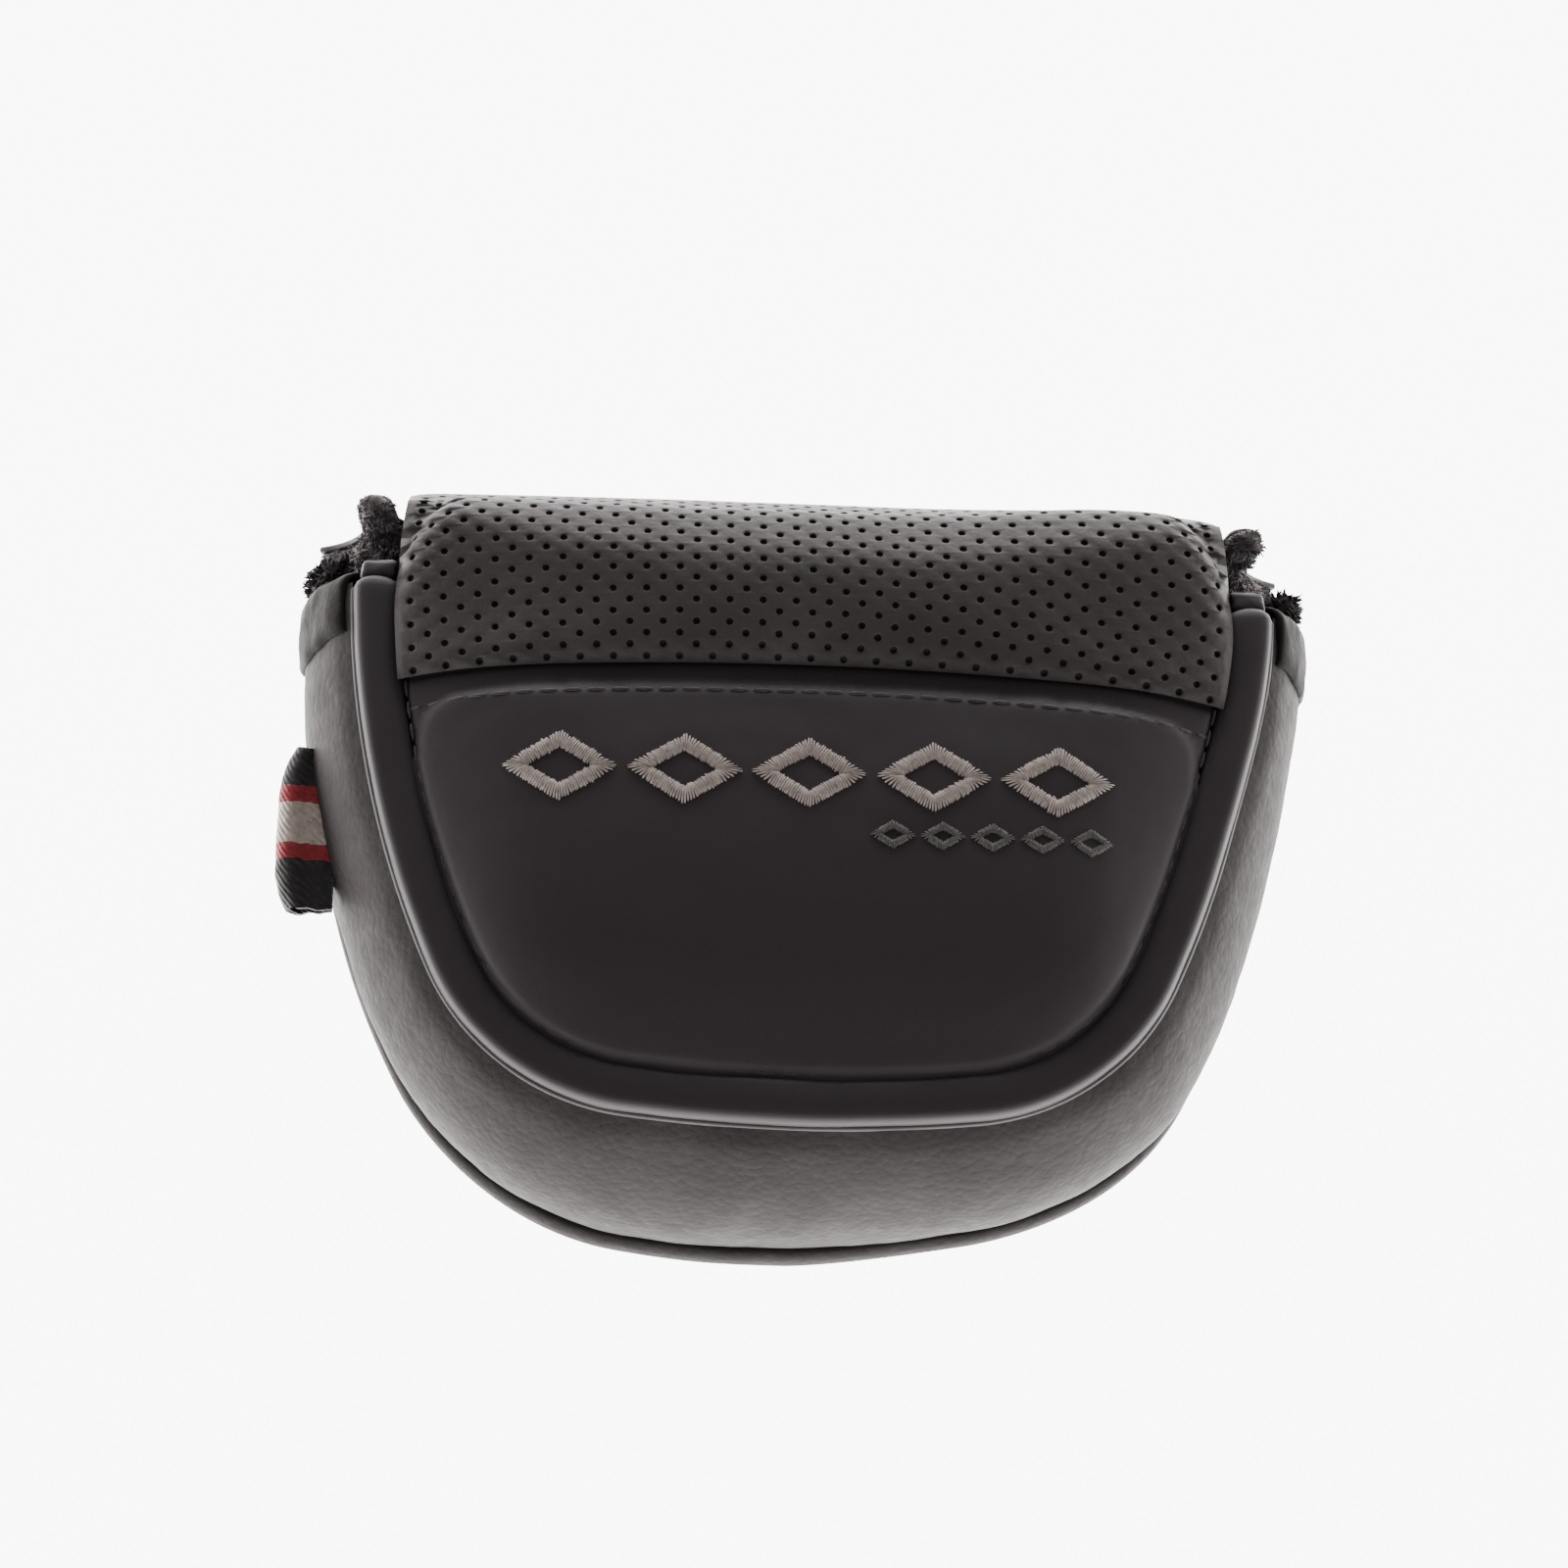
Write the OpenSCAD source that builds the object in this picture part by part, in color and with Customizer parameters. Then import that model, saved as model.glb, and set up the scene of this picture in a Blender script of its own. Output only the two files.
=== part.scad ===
// Mallet putter head cover: a padded, fleece-lined pouch with a D-shaped front.
// It lies on its back. +Z points out of the front panel, +Y towards the mouth,
// and the origin is on the flat of the back panel.

/* [Outline] */
// Width of the front between its side seams
front_w = 114; // [96:1:138]
// Distance from the origin to the front seam at the round end
end_y = 36.5; // [28:0.5:44]
// Distance from the origin to where the sides start to curve in
side_y = 36; // [34:0.5:38]
// Radius of the long side curves
side_r = 130; // [120:1:156]
// Radius of the two corners of the round end
corner_r = 30; // [24:1:36]
// Radius of the shallow curve across the round end
end_r = 200; // [160:1:240]

/* [Height] */
// Height of the front seam above the surface the cover lies on
front_z = 38; // [34:0.5:44]
// Height of the back seam above that surface
back_z = 8; // [7:0.5:9.5]
// How far the back seam stands outside the front seam
flare = 5; // [4.5:0.5:7]
// Extra bulge of the side band halfway up
belly = 4.5; // [3.5:0.5:6]
// How much further the back seam reaches than that at the round end
end_drop = 5; // [3:0.5:6]

/* [Layers] */
// Thickness of the leatherette
leather_t = 1.2; // [1:0.1:1.4]
// Thickness of the foam in the side band
foam_t = 2.5; // [2:0.1:3]
// Thickness of the fleece lining
fleece_t = 2; // [1.7:0.1:2.4]
// Thickness of the softer fleece under the front panel
front_fleece_t = 2.5; // [2:0.1:3]
// Thickness of the padded rim and of the front pad under its skin
pad_t = 4.5; // [4:0.1:5.4]

/* [Front panel] */
// Width of the rim band between the edge seam and the groove
rim_w = 3.5; // [3:0.1:4.2]
// Width of the stitched groove inside the rim
groove_w = 1.1; // [0.9:0.1:1.4]
// Highest point of the smooth pad above the front seam
crown_h = 5; // [4:0.1:6]
// Radius of the smooth pad's curve from the round end to the seam
crown_r = 60; // [54:1:72]
// Radius of the curve across the width of both pads
cross_r = 260; // [220:5:310]
// Distance from the origin to the middle of the arched seam
seam_y = 16; // [13:0.5:18]
// Radius of the arched seam
seam_r = 500; // [420:5:600]
// Half width of the flat land along the seam
land_w = 1.1; // [0.9:0.1:1.3]
// Radius of the perforated pad where it rolls over the fold
fold_r = 16; // [15.5:0.1:16.5]
// Distance from the origin to the axis of that roll
fold_y = 28.5; // [28:0.1:29]
// Radius of the two upper corners of the perforated pad
fold_corner_r = 6.5; // [4:0.5:9]

/* [Mouth and flap] */
// Distance from the origin to the end of the side band at the front seam
mouth_front_y = 31.5; // [30:0.5:33]
// Distance from the origin to the end of the side band at the back seam
mouth_back_y = 40; // [38:0.5:41]
// Width of the closing flap
flap_w = 101; // [80:1:102]
// Furthest reach of the flap from the origin
flap_y = 50.2; // [49.8:0.1:51.5]
// Length of the flap's tongue under the back panel
tongue_l = 34; // [30:0.5:38]
// Thickness of the board inside the tongue
board_t = 1.1; // [0.9:0.1:1.3]
// Thickness of the thin tongue lining
tongue_lining_t = 1; // [0.8:0.1:1.2]
// Running gap between pieces that move past each other
clearance = 0.3; // [0.2:0.05:0.4]

/* [Shaft tab] */
// Width of the fleece-lined tab over its two ears
tab_w = 114; // [108:0.5:118]
// Height of the two ears above the surface
ear_h = 31; // [28:0.5:32]
// Height of the middle of the tab above the surface
tab_h = 21; // [18:0.5:21.5]
// Radius of the hollow shoulder under each ear
shoulder_r = 11; // [9:0.5:13]

/* [Magnets] */
// Diameter of each closing magnet
magnet_d = 12; // [8:0.5:16]
// Distance between the two magnets
magnet_gap = 50; // [30:1:70]

/* [Decoration] */
// Width of the stitched row of lozenges
motif_w = 76; // [50:1:80]
// Height of one lozenge
motif_h = 9; // [6:0.5:10]
// Width of a satin stitch stroke
stroke_w = 1.9; // [1.2:0.1:2.4]
// How far stitching stands proud
thread_h = 0.5; // [0.3:0.1:0.8]

/* [Tag] */
// Width of the ribbon
tag_w = 21; // [14:0.5:26]
// Thickness of the ribbon
ribbon_t = 0.9; // [0.7:0.1:1.2]
// Outer radius of the ribbon's loop
tag_r = 2.3; // [2:0.1:3]
// Height of the ribbon above the surface
tag_z = 24; // [20:0.5:28]
// How far the loop stands out of the side band at its middle
tag_out = 5.6; // [5:0.1:8]

/* [Hidden] */
$fn = 96;
half_w = front_w / 2;
big = 300;
slack = 0.2;
touch = 0.01;

// Colours of the materials
leather_colour = [0.19, 0.17, 0.18];
fleece_colour = [0.09, 0.09, 0.10];
foam_colour = [0.75, 0.72, 0.66];
thread_colour = [0.62, 0.58, 0.55];
dark_thread_colour = [0.36, 0.34, 0.33];
black_thread_colour = [0.10, 0.10, 0.10];
board_colour = [0.55, 0.50, 0.42];
steel_colour = [0.70, 0.71, 0.72];
ribbon_colour = [0.60, 0.20, 0.20];

// Centres of the arcs that make the outline, on the right-hand side
side_c = [half_w - side_r, side_y];
end_c = [0, end_r - end_y];
side_gap = side_r - corner_r;
end_gap = end_r - corner_r;
between = norm(end_c - side_c);
along = (side_gap * side_gap - end_gap * end_gap + between * between) / (2 * between);
across = sqrt(side_gap * side_gap - along * along);
toward = (end_c - side_c) / between;
corner_c = side_c + along * toward + across * [toward.y, -toward.x];
side_end = atan2(corner_c.y - side_c.y, corner_c.x - side_c.x);
corner_end = atan2(corner_c.y - end_c.y, corner_c.x - end_c.x);

// Heights of the layers of the front and the back
front_base = front_z - pad_t;
lining_base = front_base - front_fleece_t;
land_z = 3.6;
board_z = land_z + leather_t;
back_foam_top = 6;
pillow_end = 10;
stack_y = mouth_back_y + leather_t + slack;
dish_in = 12;
dish_out = flare + slack;
cross_top = front_z + 6.6;
fold_top = front_z + 6.5;
crown_shift = 2;

// Inset of the edges of the front, measured from its seam
rim_out = leather_t + 0.1;
rim_in = rim_out + rim_w;
pad_edge = rim_in + groove_w;
groove_z = front_z - 0.6;

// The tab hinge and the flap hinge
tab_in = stack_y + 2 * slack;
tab_out = tab_in + fleece_t + leather_t;
fold_z = fold_top - fold_r;
fold_back = fold_y + sqrt(pow(fold_r, 2) - pow(front_base - fold_z, 2));
flap_axis = [fold_back + 0.1, front_base - clearance];
flap_foam_t = 1.5;
flap_lining_t = 1.5;
flap_layers = leather_t + flap_foam_t + flap_lining_t;

// One arc of the outline as points, from angle a to angle b
function arc_points(c, r, a, b, first, n) =
    [for (i = [first:n]) let (turn = a + (b - a) * i / n) c + r * [cos(turn), sin(turn)]];

// The outline of the front moved outwards by off, its sides running up to y = top
function half_outline(off, top) = concat(
    [[half_w + off, top]],
    arc_points(side_c, side_r + off, 0, side_end, 0, 6),
    arc_points(corner_c, corner_r + off, side_end, corner_end, 1, 9),
    arc_points(end_c, end_r + off, corner_end, -90, 1, 3)
);
function outline(off, top) =
    let (half = half_outline(off, top))
    concat(half, [for (i = [len(half) - 2:-1:0]) [-half[i].x, half[i].y]]);
function reversed(list) = [for (i = [len(list) - 1:-1:0]) list[i]];

// How far the side band stands outside the front seam, at heights from the back seam up
band_steps = 7;
band_curve = [for (i = [0:band_steps])
    let (down = 1 - i / band_steps)
    [front_z + (back_z - front_z) * down, flare * down + 4 * belly * down * (1 - down)]];
function band_off(z) = lookup(z, band_curve);

// How far the outline slides towards the round end, from nothing at the front seam
function slide(z) = end_drop * min(1, max(0, (front_z - z) / (front_z - back_z)));

// A section of the side band, between two depths under its surface
function band_section(out, in, low, high) =
    let (
        between = [for (c = band_curve) if (c.x > low + touch && c.x < high - touch) c.x],
        heights = concat([low], between, [high])
    )
    concat(
        [for (z = heights) [band_off(z) - out, z]],
        [for (z = reversed(heights)) [band_off(z) - in, z]]
    );

// A flat-sided block of the outline moved outwards by off
module block(off, low, high, top = big / 3) {
    translate([0, 0, low])
        linear_extrude(high - low)
            polygon(outline(off, top));
}

// A flat-sided strip along the outline, between two offsets
module strip(out, in, low, high, top) {
    translate([0, 0, low])
        linear_extrude(high - low)
            polygon(concat(outline(out, top), reversed(outline(in, top))));
}

// A section of [offset, height] points swept along the outline, open at the mouth
module edge_run(section, top = big / 5) {
    paths = [for (s = section) outline(s.x, top)];
    n = len(section);
    m = len(paths[0]);
    polyhedron(
        points = [for (i = [0:m - 1]) for (j = [0:n - 1])
            [paths[j][i].x, paths[j][i].y - slide(section[j].y), section[j].y]],
        faces = concat(
            [for (i = [0:m - 2]) for (j = [0:n - 1])
                [(i + 1) * n + j, (i + 1) * n + (j + 1) % n, i * n + (j + 1) % n, i * n + j]],
            [[for (j = [0:n - 1]) j]],
            [[for (j = [n - 1:-1:0]) (m - 1) * n + j]]
        )
    );
}

// A closed body with the outline as its plan, of [offset, height] rings from the bottom up
module stacked(rings, top = big / 5) {
    paths = [for (r = rings) outline(r.x, top)];
    n = len(paths[0]);
    m = len(rings);
    polyhedron(
        points = [for (k = [0:m - 1]) for (i = [0:n - 1])
            [paths[k][i].x, paths[k][i].y - slide(rings[k].y), rings[k].y]],
        faces = concat(
            [for (k = [0:m - 2]) for (i = [0:n - 1])
                [k * n + (i + 1) % n, (k + 1) * n + (i + 1) % n, (k + 1) * n + i, k * n + i]],
            [[for (i = [n - 1:-1:0]) i]],
            [[for (i = [0:n - 1]) (m - 1) * n + i]]
        )
    );
}

// Everything on the closed side of the slanted mouth plane, moved towards the mouth by shift
module behind_mouth(shift = 0) {
    slope = atan2(mouth_back_y - mouth_front_y, front_z - back_z);
    translate([0, mouth_front_y + shift, front_z])
        rotate([slope, 0, 0])
            translate([-big / 2, -big, -big / 2])
                cube([big, big, big]);
}

// A slab of space between two heights
module slab(low, high) {
    translate([-big / 2, -big / 2, low])
        cube([big, big, high - low]);
}

// A slab of space between two distances from the round end
module across_slab(from, to) {
    translate([-big / 2, from, -big / 2])
        cube([big, to - from, big]);
}

// ---------- Front ----------

// The space on the round-end side of the arched seam, moved by shift towards the mouth
module below_seam(shift) {
    translate([0, seam_y - seam_r, -1])
        cylinder(r = seam_r + shift, h = big / 2);
}

// The gentle curve across the width that both pads share
module cross_curve(depth) {
    translate([0, -big / 2, cross_top - cross_r - depth])
        rotate([-90, 0, 0])
            cylinder(r = cross_r, h = big);
}

// The space under the smooth pad's surface
module under_crown(depth) {
    intersection() {
        translate([-big / 2, (seam_y - end_y) / 2 + crown_shift, front_z + crown_h - crown_r])
            rotate([0, 90, 0])
                cylinder(r = crown_r - depth, h = big);
        cross_curve(depth);
    }
}

// The space under the perforated pad's surface
module under_fold(depth) {
    intersection() {
        translate([-big / 2, fold_y, fold_z])
            rotate([0, 90, 0])
                cylinder(r = fold_r - depth, h = big);
        cross_curve(depth);
    }
}

module fold_outline(edge) {
    w = 2 * (half_w - pad_edge - edge);
    r = fold_corner_r;
    translate([0, 0, front_base])
        linear_extrude(big / 10)
            intersection() {
                polygon(outline(-pad_edge - edge, big / 3));
                union() {
                    translate([-w / 2, -big / 2])
                        square([w, big / 2 + mouth_front_y + 4]);
                    translate([-w / 2 + r, 0])
                        square([w - 2 * r, big / 2]);
                    for (side = [-1, 1]) translate([side * (w / 2 - r), mouth_front_y + 4])
                        circle(r);
                }
            }
}

module front_rim() {
    color(leather_colour)
        intersection() {
            strip(-rim_out, -rim_in, front_base, front_z + 0.4, big / 5);
            across_slab(-big / 2, mouth_front_y - leather_t);
        }
}

module front_panel() {
    color(leather_colour)
        difference() {
            intersection() {
                union() {
                    intersection() {
                        block(-pad_edge, front_base, big / 3);
                        under_crown(0);
                        below_seam(-land_w);
                    }
                    block(-rim_in, front_base, groove_z);
                }
                below_seam(0);
            }
            intersection() {
                block(-pad_edge - leather_t, front_base - 1, big / 3);
                under_crown(leather_t);
                below_seam(-land_w - leather_t);
            }
            intersection() {
                block(-rim_in - 0.01, front_base - 1, groove_z - leather_t);
                below_seam(-land_w);
            }
        }
}

module perforated_panel() {
    color(leather_colour)
        difference() {
            intersection() {
                union() {
                    intersection() {
                        fold_outline(0);
                        under_fold(0);
                    }
                    intersection() {
                        block(-rim_in, front_base, groove_z);
                        across_slab(-big / 2, mouth_front_y);
                    }
                }
                difference() {
                    slab(front_base, big / 3);
                    below_seam(0);
                }
            }
            difference() {
                intersection() {
                    fold_outline(leather_t);
                    under_fold(leather_t);
                    translate([0, 0, -1])
                        slab(front_base, big / 3);
                }
                below_seam(land_w + leather_t);
            }
        }
}

module front_foam() {
    color(foam_colour)
        intersection() {
            block(-pad_edge - leather_t, front_base, big / 3);
            under_crown(leather_t);
            below_seam(-land_w - leather_t);
        }
}

module fold_foam() {
    color(foam_colour)
        difference() {
            intersection() {
                fold_outline(leather_t);
                under_fold(leather_t);
            }
            below_seam(land_w + leather_t);
        }
}

module front_lining() {
    color(fleece_colour)
        translate([0, 0, lining_base])
            linear_extrude(front_base - lining_base)
                intersection() {
                    polygon(outline(-rim_out, fold_y + fold_r - 2.5));
                    union() {
                        translate([-big / 2, -big / 2])
                            square([big, big / 2 + mouth_front_y - 2]);
                        translate([-half_w + pad_edge, 0])
                            square([2 * (half_w - pad_edge), big / 3]);
                    }
                }
}

module front_welt() {
    bead_r = 0.75;
    bead = [for (a = [0:36:180]) [bead_r * cos(a) - bead_r + 0.3, front_z + bead_r * sin(a)]];
    color(leather_colour)
        intersection() {
            edge_run(bead);
            across_slab(-big / 2, mouth_front_y - leather_t);
        }
}

module rim_end() {
    intersection() {
        strip(-rim_out, -rim_in, front_base, front_z + 1, big / 5);
        across_slab(mouth_front_y - leather_t, mouth_front_y);
        translate([0, -big / 2, 0])
            cube([big, big, big]);
    }
}

module rim_end_right() {
    color(leather_colour)
        rim_end();
}

module rim_end_left() {
    color(leather_colour)
        mirror([1, 0, 0])
            rim_end();
}

module groove_thread() {
    color(black_thread_colour)
        intersection() {
            strip(-rim_in - groove_w * 0.3, -rim_in - groove_w * 0.7, groove_z, groove_z + thread_h,
                big / 5);
            across_slab(-big / 2, mouth_front_y - leather_t);
        }
}

module seam_thread() {
    color(black_thread_colour)
        intersection() {
            translate([0, seam_y - seam_r, groove_z])
                difference() {
                    cylinder(r = seam_r - 0.3, h = thread_h);
                    translate([0, 0, -1])
                        cylinder(r = seam_r - 0.8, h = thread_h + 2);
                }
            block(-rim_in - groove_w, 0, big / 3);
            across_slab(0, big / 2);
        }
}

// ---------- Decoration ----------

// A row of hollow lozenges, each count-th of the width
module lozenge_row(count, width, height, stroke) {
    pitch = width / count;
    for (i = [0:count - 1]) translate([(i - (count - 1) / 2) * pitch, 0])
        difference() {
            lozenge(pitch * 0.93, height);
            lozenge(pitch * 0.93 - stroke * 2.6, height - stroke * 2.6 * height / pitch);
        }
}

module lozenge(width, height) {
    polygon([[width / 2, 0], [0, height / 2], [-width / 2, 0], [0, -height / 2]]);
}

// Stitching that stands proud of the smooth pad by thread_h
module stitched() {
    difference() {
        intersection() {
            translate([0, 0, front_z])
                linear_extrude(big / 10)
                    children();
            under_crown(-thread_h);
        }
        under_crown(0);
    }
}

module embroidery_band() {
    color(thread_colour)
        stitched()
            translate([0, seam_y - 10.5])
                lozenge_row(5, motif_w, motif_h, stroke_w);
}

module embroidery_row() {
    color(dark_thread_colour)
        stitched()
            translate([motif_w * 0.295, seam_y - 18])
                lozenge_row(5, motif_w * 0.4, motif_h * 0.4, stroke_w * 0.45);
}

// ---------- Side band ----------

module band(out, in, low, high) {
    intersection() {
        edge_run(band_section(out, in, low, high));
        behind_mouth();
    }
}

module gusset_outer() {
    color(leather_colour)
        band(0, leather_t, back_z, front_z);
}

module gusset_foam() {
    color(foam_colour)
        band(leather_t, leather_t + foam_t, back_z, front_base);
}

module gusset_lining() {
    color(fleece_colour)
        band(leather_t + foam_t, leather_t + foam_t + fleece_t, back_z, lining_base);
}

module gusset_binding() {
    difference() {
        intersection() {
            edge_run(band_section(0, leather_t + foam_t + fleece_t, back_z, front_base));
            behind_mouth(leather_t);
            translate([0, -big / 2, 0])
                cube([big, big, big]);
        }
        behind_mouth();
    }
}

module gusset_binding_right() {
    color(leather_colour)
        gusset_binding();
}

module gusset_binding_left() {
    color(leather_colour)
        mirror([1, 0, 0])
            gusset_binding();
}

// ---------- Back ----------

// The space inside the rounded lower edge of the back
module dish(depth) {
    wide = dish_in - depth;
    tall = back_z - depth;
    edge = dish_out - depth;
    stacked([for (a = [90:-18:0]) [edge - wide * (1 - cos(a)), back_z - tall * sin(a)]]);
}

module back_panel() {
    color(leather_colour)
        intersection() {
            difference() {
                dish(0);
                intersection() {
                    dish(leather_t);
                    union() {
                        across_slab(-big / 2, pillow_end - leather_t);
                        slab(back_foam_top, big / 3);
                    }
                }
            }
            across_slab(-big / 2, pillow_end);
        }
}

module back_foam() {
    color(foam_colour)
        intersection() {
            dish(leather_t);
            slab(0, back_foam_top);
            across_slab(-big / 2, pillow_end - leather_t);
        }
}

module back_land() {
    color(leather_colour)
        intersection() {
            difference() {
                dish(0);
                intersection() {
                    dish(leather_t);
                    slab(board_z, big / 3);
                }
            }
            slab(land_z, big / 3);
            across_slab(pillow_end, stack_y);
        }
}

module magnet_places() {
    for (side = [-1, 1]) translate([side * magnet_gap / 2, (pillow_end + stack_y) / 2])
        children();
}

module land_board() {
    color(board_colour)
        difference() {
            intersection() {
                dish(leather_t);
                slab(board_z, back_foam_top);
                across_slab(pillow_end, stack_y);
            }
            magnet_places()
                translate([0, 0, board_z - 1])
                    cylinder(d = magnet_d + slack, h = back_foam_top);
        }
}

module land_magnets() {
    color(steel_colour)
        magnet_places()
            translate([0, 0, board_z])
                cylinder(d = magnet_d, h = back_foam_top - board_z);
}

module back_lining() {
    color(fleece_colour)
        intersection() {
            dish(leather_t);
            slab(back_foam_top, back_z);
            across_slab(-big / 2, stack_y);
        }
}

module back_welt() {
    bead_r = 0.8;
    bead_out = 0.45;
    bead = [for (a = [-90:36:90]) [bead_r * cos(a) + dish_out + bead_out, back_z + bead_r * sin(a)]];
    color(leather_colour)
        intersection() {
            edge_run(bead);
            across_slab(-big / 2, mouth_back_y);
        }
}

// ---------- Flap and tongue ----------

// The outer face of the flap, from the hinge down to the surface
flap_bulge = [flap_y + 0.7, front_z - 14];
flap_low = [flap_y, 9];
function flap_face(t) = pow(1 - t, 2) * flap_axis + 2 * t * (1 - t) * flap_bulge + t * t * flap_low;

// A layer of the flap between two depths, starting at the first-th of eight steps down its curve
module flap_layer(out, in, first, foot, width) {
    curve = [for (i = [first:8]) flap_face(i / 8)];
    rotate([90, 0, 90])
        translate([0, 0, -width / 2])
            linear_extrude(width)
                polygon(concat(
                    [for (p = curve) [p.x - out, p.y]],
                    [[flap_y - out, foot], [flap_y - in, foot]],
                    [for (p = reversed(curve)) [p.x - in, p.y]]
                ));
}

module flap_leather() {
    color(leather_colour)
        flap_layer(0, leather_t, 0, clearance, flap_w);
}

module flap_foam() {
    color(foam_colour)
        flap_layer(leather_t, leather_t + flap_foam_t, 3, tongue_top + clearance, flap_w - 2);
}

module flap_lining() {
    color(fleece_colour)
        flap_layer(leather_t + flap_foam_t, flap_layers, 3, tongue_top + clearance, flap_w - 2);
}

tongue_top = leather_t + board_t + tongue_lining_t;
tongue_root = flap_y - leather_t - clearance;

// The tongue's outline: a strip with two rounded corners
module tongue_layer(low, high, edge) {
    w = flap_w - 6 - 2 * edge;
    r = 8;
    tip = tongue_root - tongue_l + edge;
    translate([0, 0, low])
        linear_extrude(high - low)
            union() {
                translate([-w / 2, tip + r])
                    square([w, tongue_root - tip - r]);
                translate([-w / 2 + r, tip])
                    square([w - 2 * r, r + 1]);
                for (side = [-1, 1]) translate([side * (w / 2 - r), tip + r])
                    circle(r);
            }
}

module tongue_leather() {
    color(leather_colour)
        tongue_layer(0, leather_t, 0);
}

module tongue_board() {
    color(board_colour)
        difference() {
            tongue_layer(leather_t, leather_t + board_t, 2);
            magnet_places()
                cylinder(d = magnet_d + slack, h = back_z);
        }
}

module tongue_magnets() {
    color(steel_colour)
        magnet_places()
            translate([0, 0, leather_t])
                cylinder(d = magnet_d, h = board_t);
}

module tongue_lining() {
    color(fleece_colour)
        tongue_layer(leather_t + board_t, tongue_top, 0);
}

module tongue_thread() {
    color(black_thread_colour)
        difference() {
            tongue_layer(leather_t, leather_t + board_t, 0.8);
            translate([0, 0, -1])
                tongue_layer(0, back_z, 1.8);
        }
}

// ---------- Shaft tab ----------

// The tab's face seen from the mouth: two ears over hollow shoulders
module tab_face() {
    foot = back_foam_top + 0.6;
    wing = flare + 5;
    difference() {
        translate([-half_w - wing + 4, foot])
            square([front_w + 2 * wing - 8, ear_h - foot]);
        translate([-flap_w / 2 - 0.6, tab_h])
            square([flap_w + 1.2, big / 2]);
        for (side = [-1, 1]) {
            translate([side * (tab_w / 2 + shoulder_r), foot + 6 + shoulder_r])
                circle(shoulder_r);
            translate([side * (tab_w / 2 + big / 6) - big / 6, foot + 6 + shoulder_r])
                square([big / 3, big / 3]);
        }
    }
}

module tab_layer(from, to) {
    translate([0, to, 0])
        rotate([90, 0, 0])
            linear_extrude(to - from)
                tab_face();
}

module tab_leather() {
    color(leather_colour)
        tab_layer(tab_out - leather_t, tab_out);
}

module tab_fleece() {
    color(fleece_colour)
        tab_layer(tab_in, tab_out - leather_t);
}

// ---------- Ribbon tag ----------

tag_y = 2;
tag_root_r = side_r + band_off(tag_z);
tag_root_x = -(side_c.x + sqrt(pow(tag_root_r, 2) - pow(tag_y + slide(tag_z) - side_y, 2)));
tag_low = tag_z - ribbon_t - 0.1;
tag_centre_x = tag_root_x - tag_out + tag_r;

// The ribbon seen along its fold: a round loop that narrows to a flat neck
function loop_side(r) = [for (a = [0:15:135]) r * [cos(a), sin(a)]];

module loop_outline() {
    neck = ribbon_t + 0.1;
    root = tag_r - tag_out - tag_w;
    difference() {
        polygon(concat(
            loop_side(tag_r),
            [[root, neck], [root, -neck]],
            [for (i = [9:-1:1]) [loop_side(tag_r)[i].x, -loop_side(tag_r)[i].y]]
        ));
        circle(tag_r - ribbon_t);
    }
}

module tag_loop() {
    color(ribbon_colour)
        difference() {
            translate([tag_centre_x, tag_y + tag_w / 2, tag_z])
                rotate([90, 0, 0])
                    linear_extrude(tag_w)
                        mirror([1, 0])
                            loop_outline();
            translate([0, -slide(tag_low), 0])
                block(band_off(tag_low) + 2 * clearance, 0, front_z);
        }
}

front_rim();
front_panel();
perforated_panel();
front_foam();
fold_foam();
front_lining();
front_welt();
gusset_outer();
gusset_foam();
gusset_lining();
gusset_binding_left();
gusset_binding_right();
rim_end_left();
rim_end_right();
back_panel();
back_foam();
back_land();
land_board();
land_magnets();
back_lining();
back_welt();
embroidery_band();
embroidery_row();
groove_thread();
seam_thread();
flap_leather();
flap_foam();
flap_lining();
tongue_leather();
tongue_board();
tongue_magnets();
tongue_lining();
tongue_thread();
tab_leather();
tab_fleece();
tag_loop();
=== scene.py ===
import math

import bmesh
import bpy
import numpy as np
from mathutils import Matrix, Vector, noise


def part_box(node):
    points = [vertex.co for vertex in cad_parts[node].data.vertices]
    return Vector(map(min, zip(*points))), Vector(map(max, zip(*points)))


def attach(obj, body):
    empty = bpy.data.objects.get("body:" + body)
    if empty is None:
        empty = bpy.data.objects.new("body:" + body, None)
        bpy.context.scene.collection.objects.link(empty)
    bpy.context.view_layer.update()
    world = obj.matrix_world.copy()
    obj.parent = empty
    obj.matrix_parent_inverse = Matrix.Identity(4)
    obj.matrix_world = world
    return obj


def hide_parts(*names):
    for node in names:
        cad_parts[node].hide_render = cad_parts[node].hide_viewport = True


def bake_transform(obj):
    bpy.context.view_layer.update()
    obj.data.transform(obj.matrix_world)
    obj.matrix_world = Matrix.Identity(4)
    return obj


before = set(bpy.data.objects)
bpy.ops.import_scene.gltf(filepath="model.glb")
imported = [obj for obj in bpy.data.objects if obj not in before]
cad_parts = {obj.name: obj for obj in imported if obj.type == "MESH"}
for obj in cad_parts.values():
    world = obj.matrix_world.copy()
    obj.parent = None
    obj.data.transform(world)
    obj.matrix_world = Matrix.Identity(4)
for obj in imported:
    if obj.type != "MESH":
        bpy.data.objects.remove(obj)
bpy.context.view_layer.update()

bl_info = {
    "name": "Mallet Putter Cover",
    "version": (1, 0, 0),
    "blender": (4, 5, 0),
    "location": "View3D > Sidebar > Putter Cover",
    "description": "Models the leatherette, fleece, stitching and ribbon of a mallet putter head cover",
    "category": "Object",
}

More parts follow.
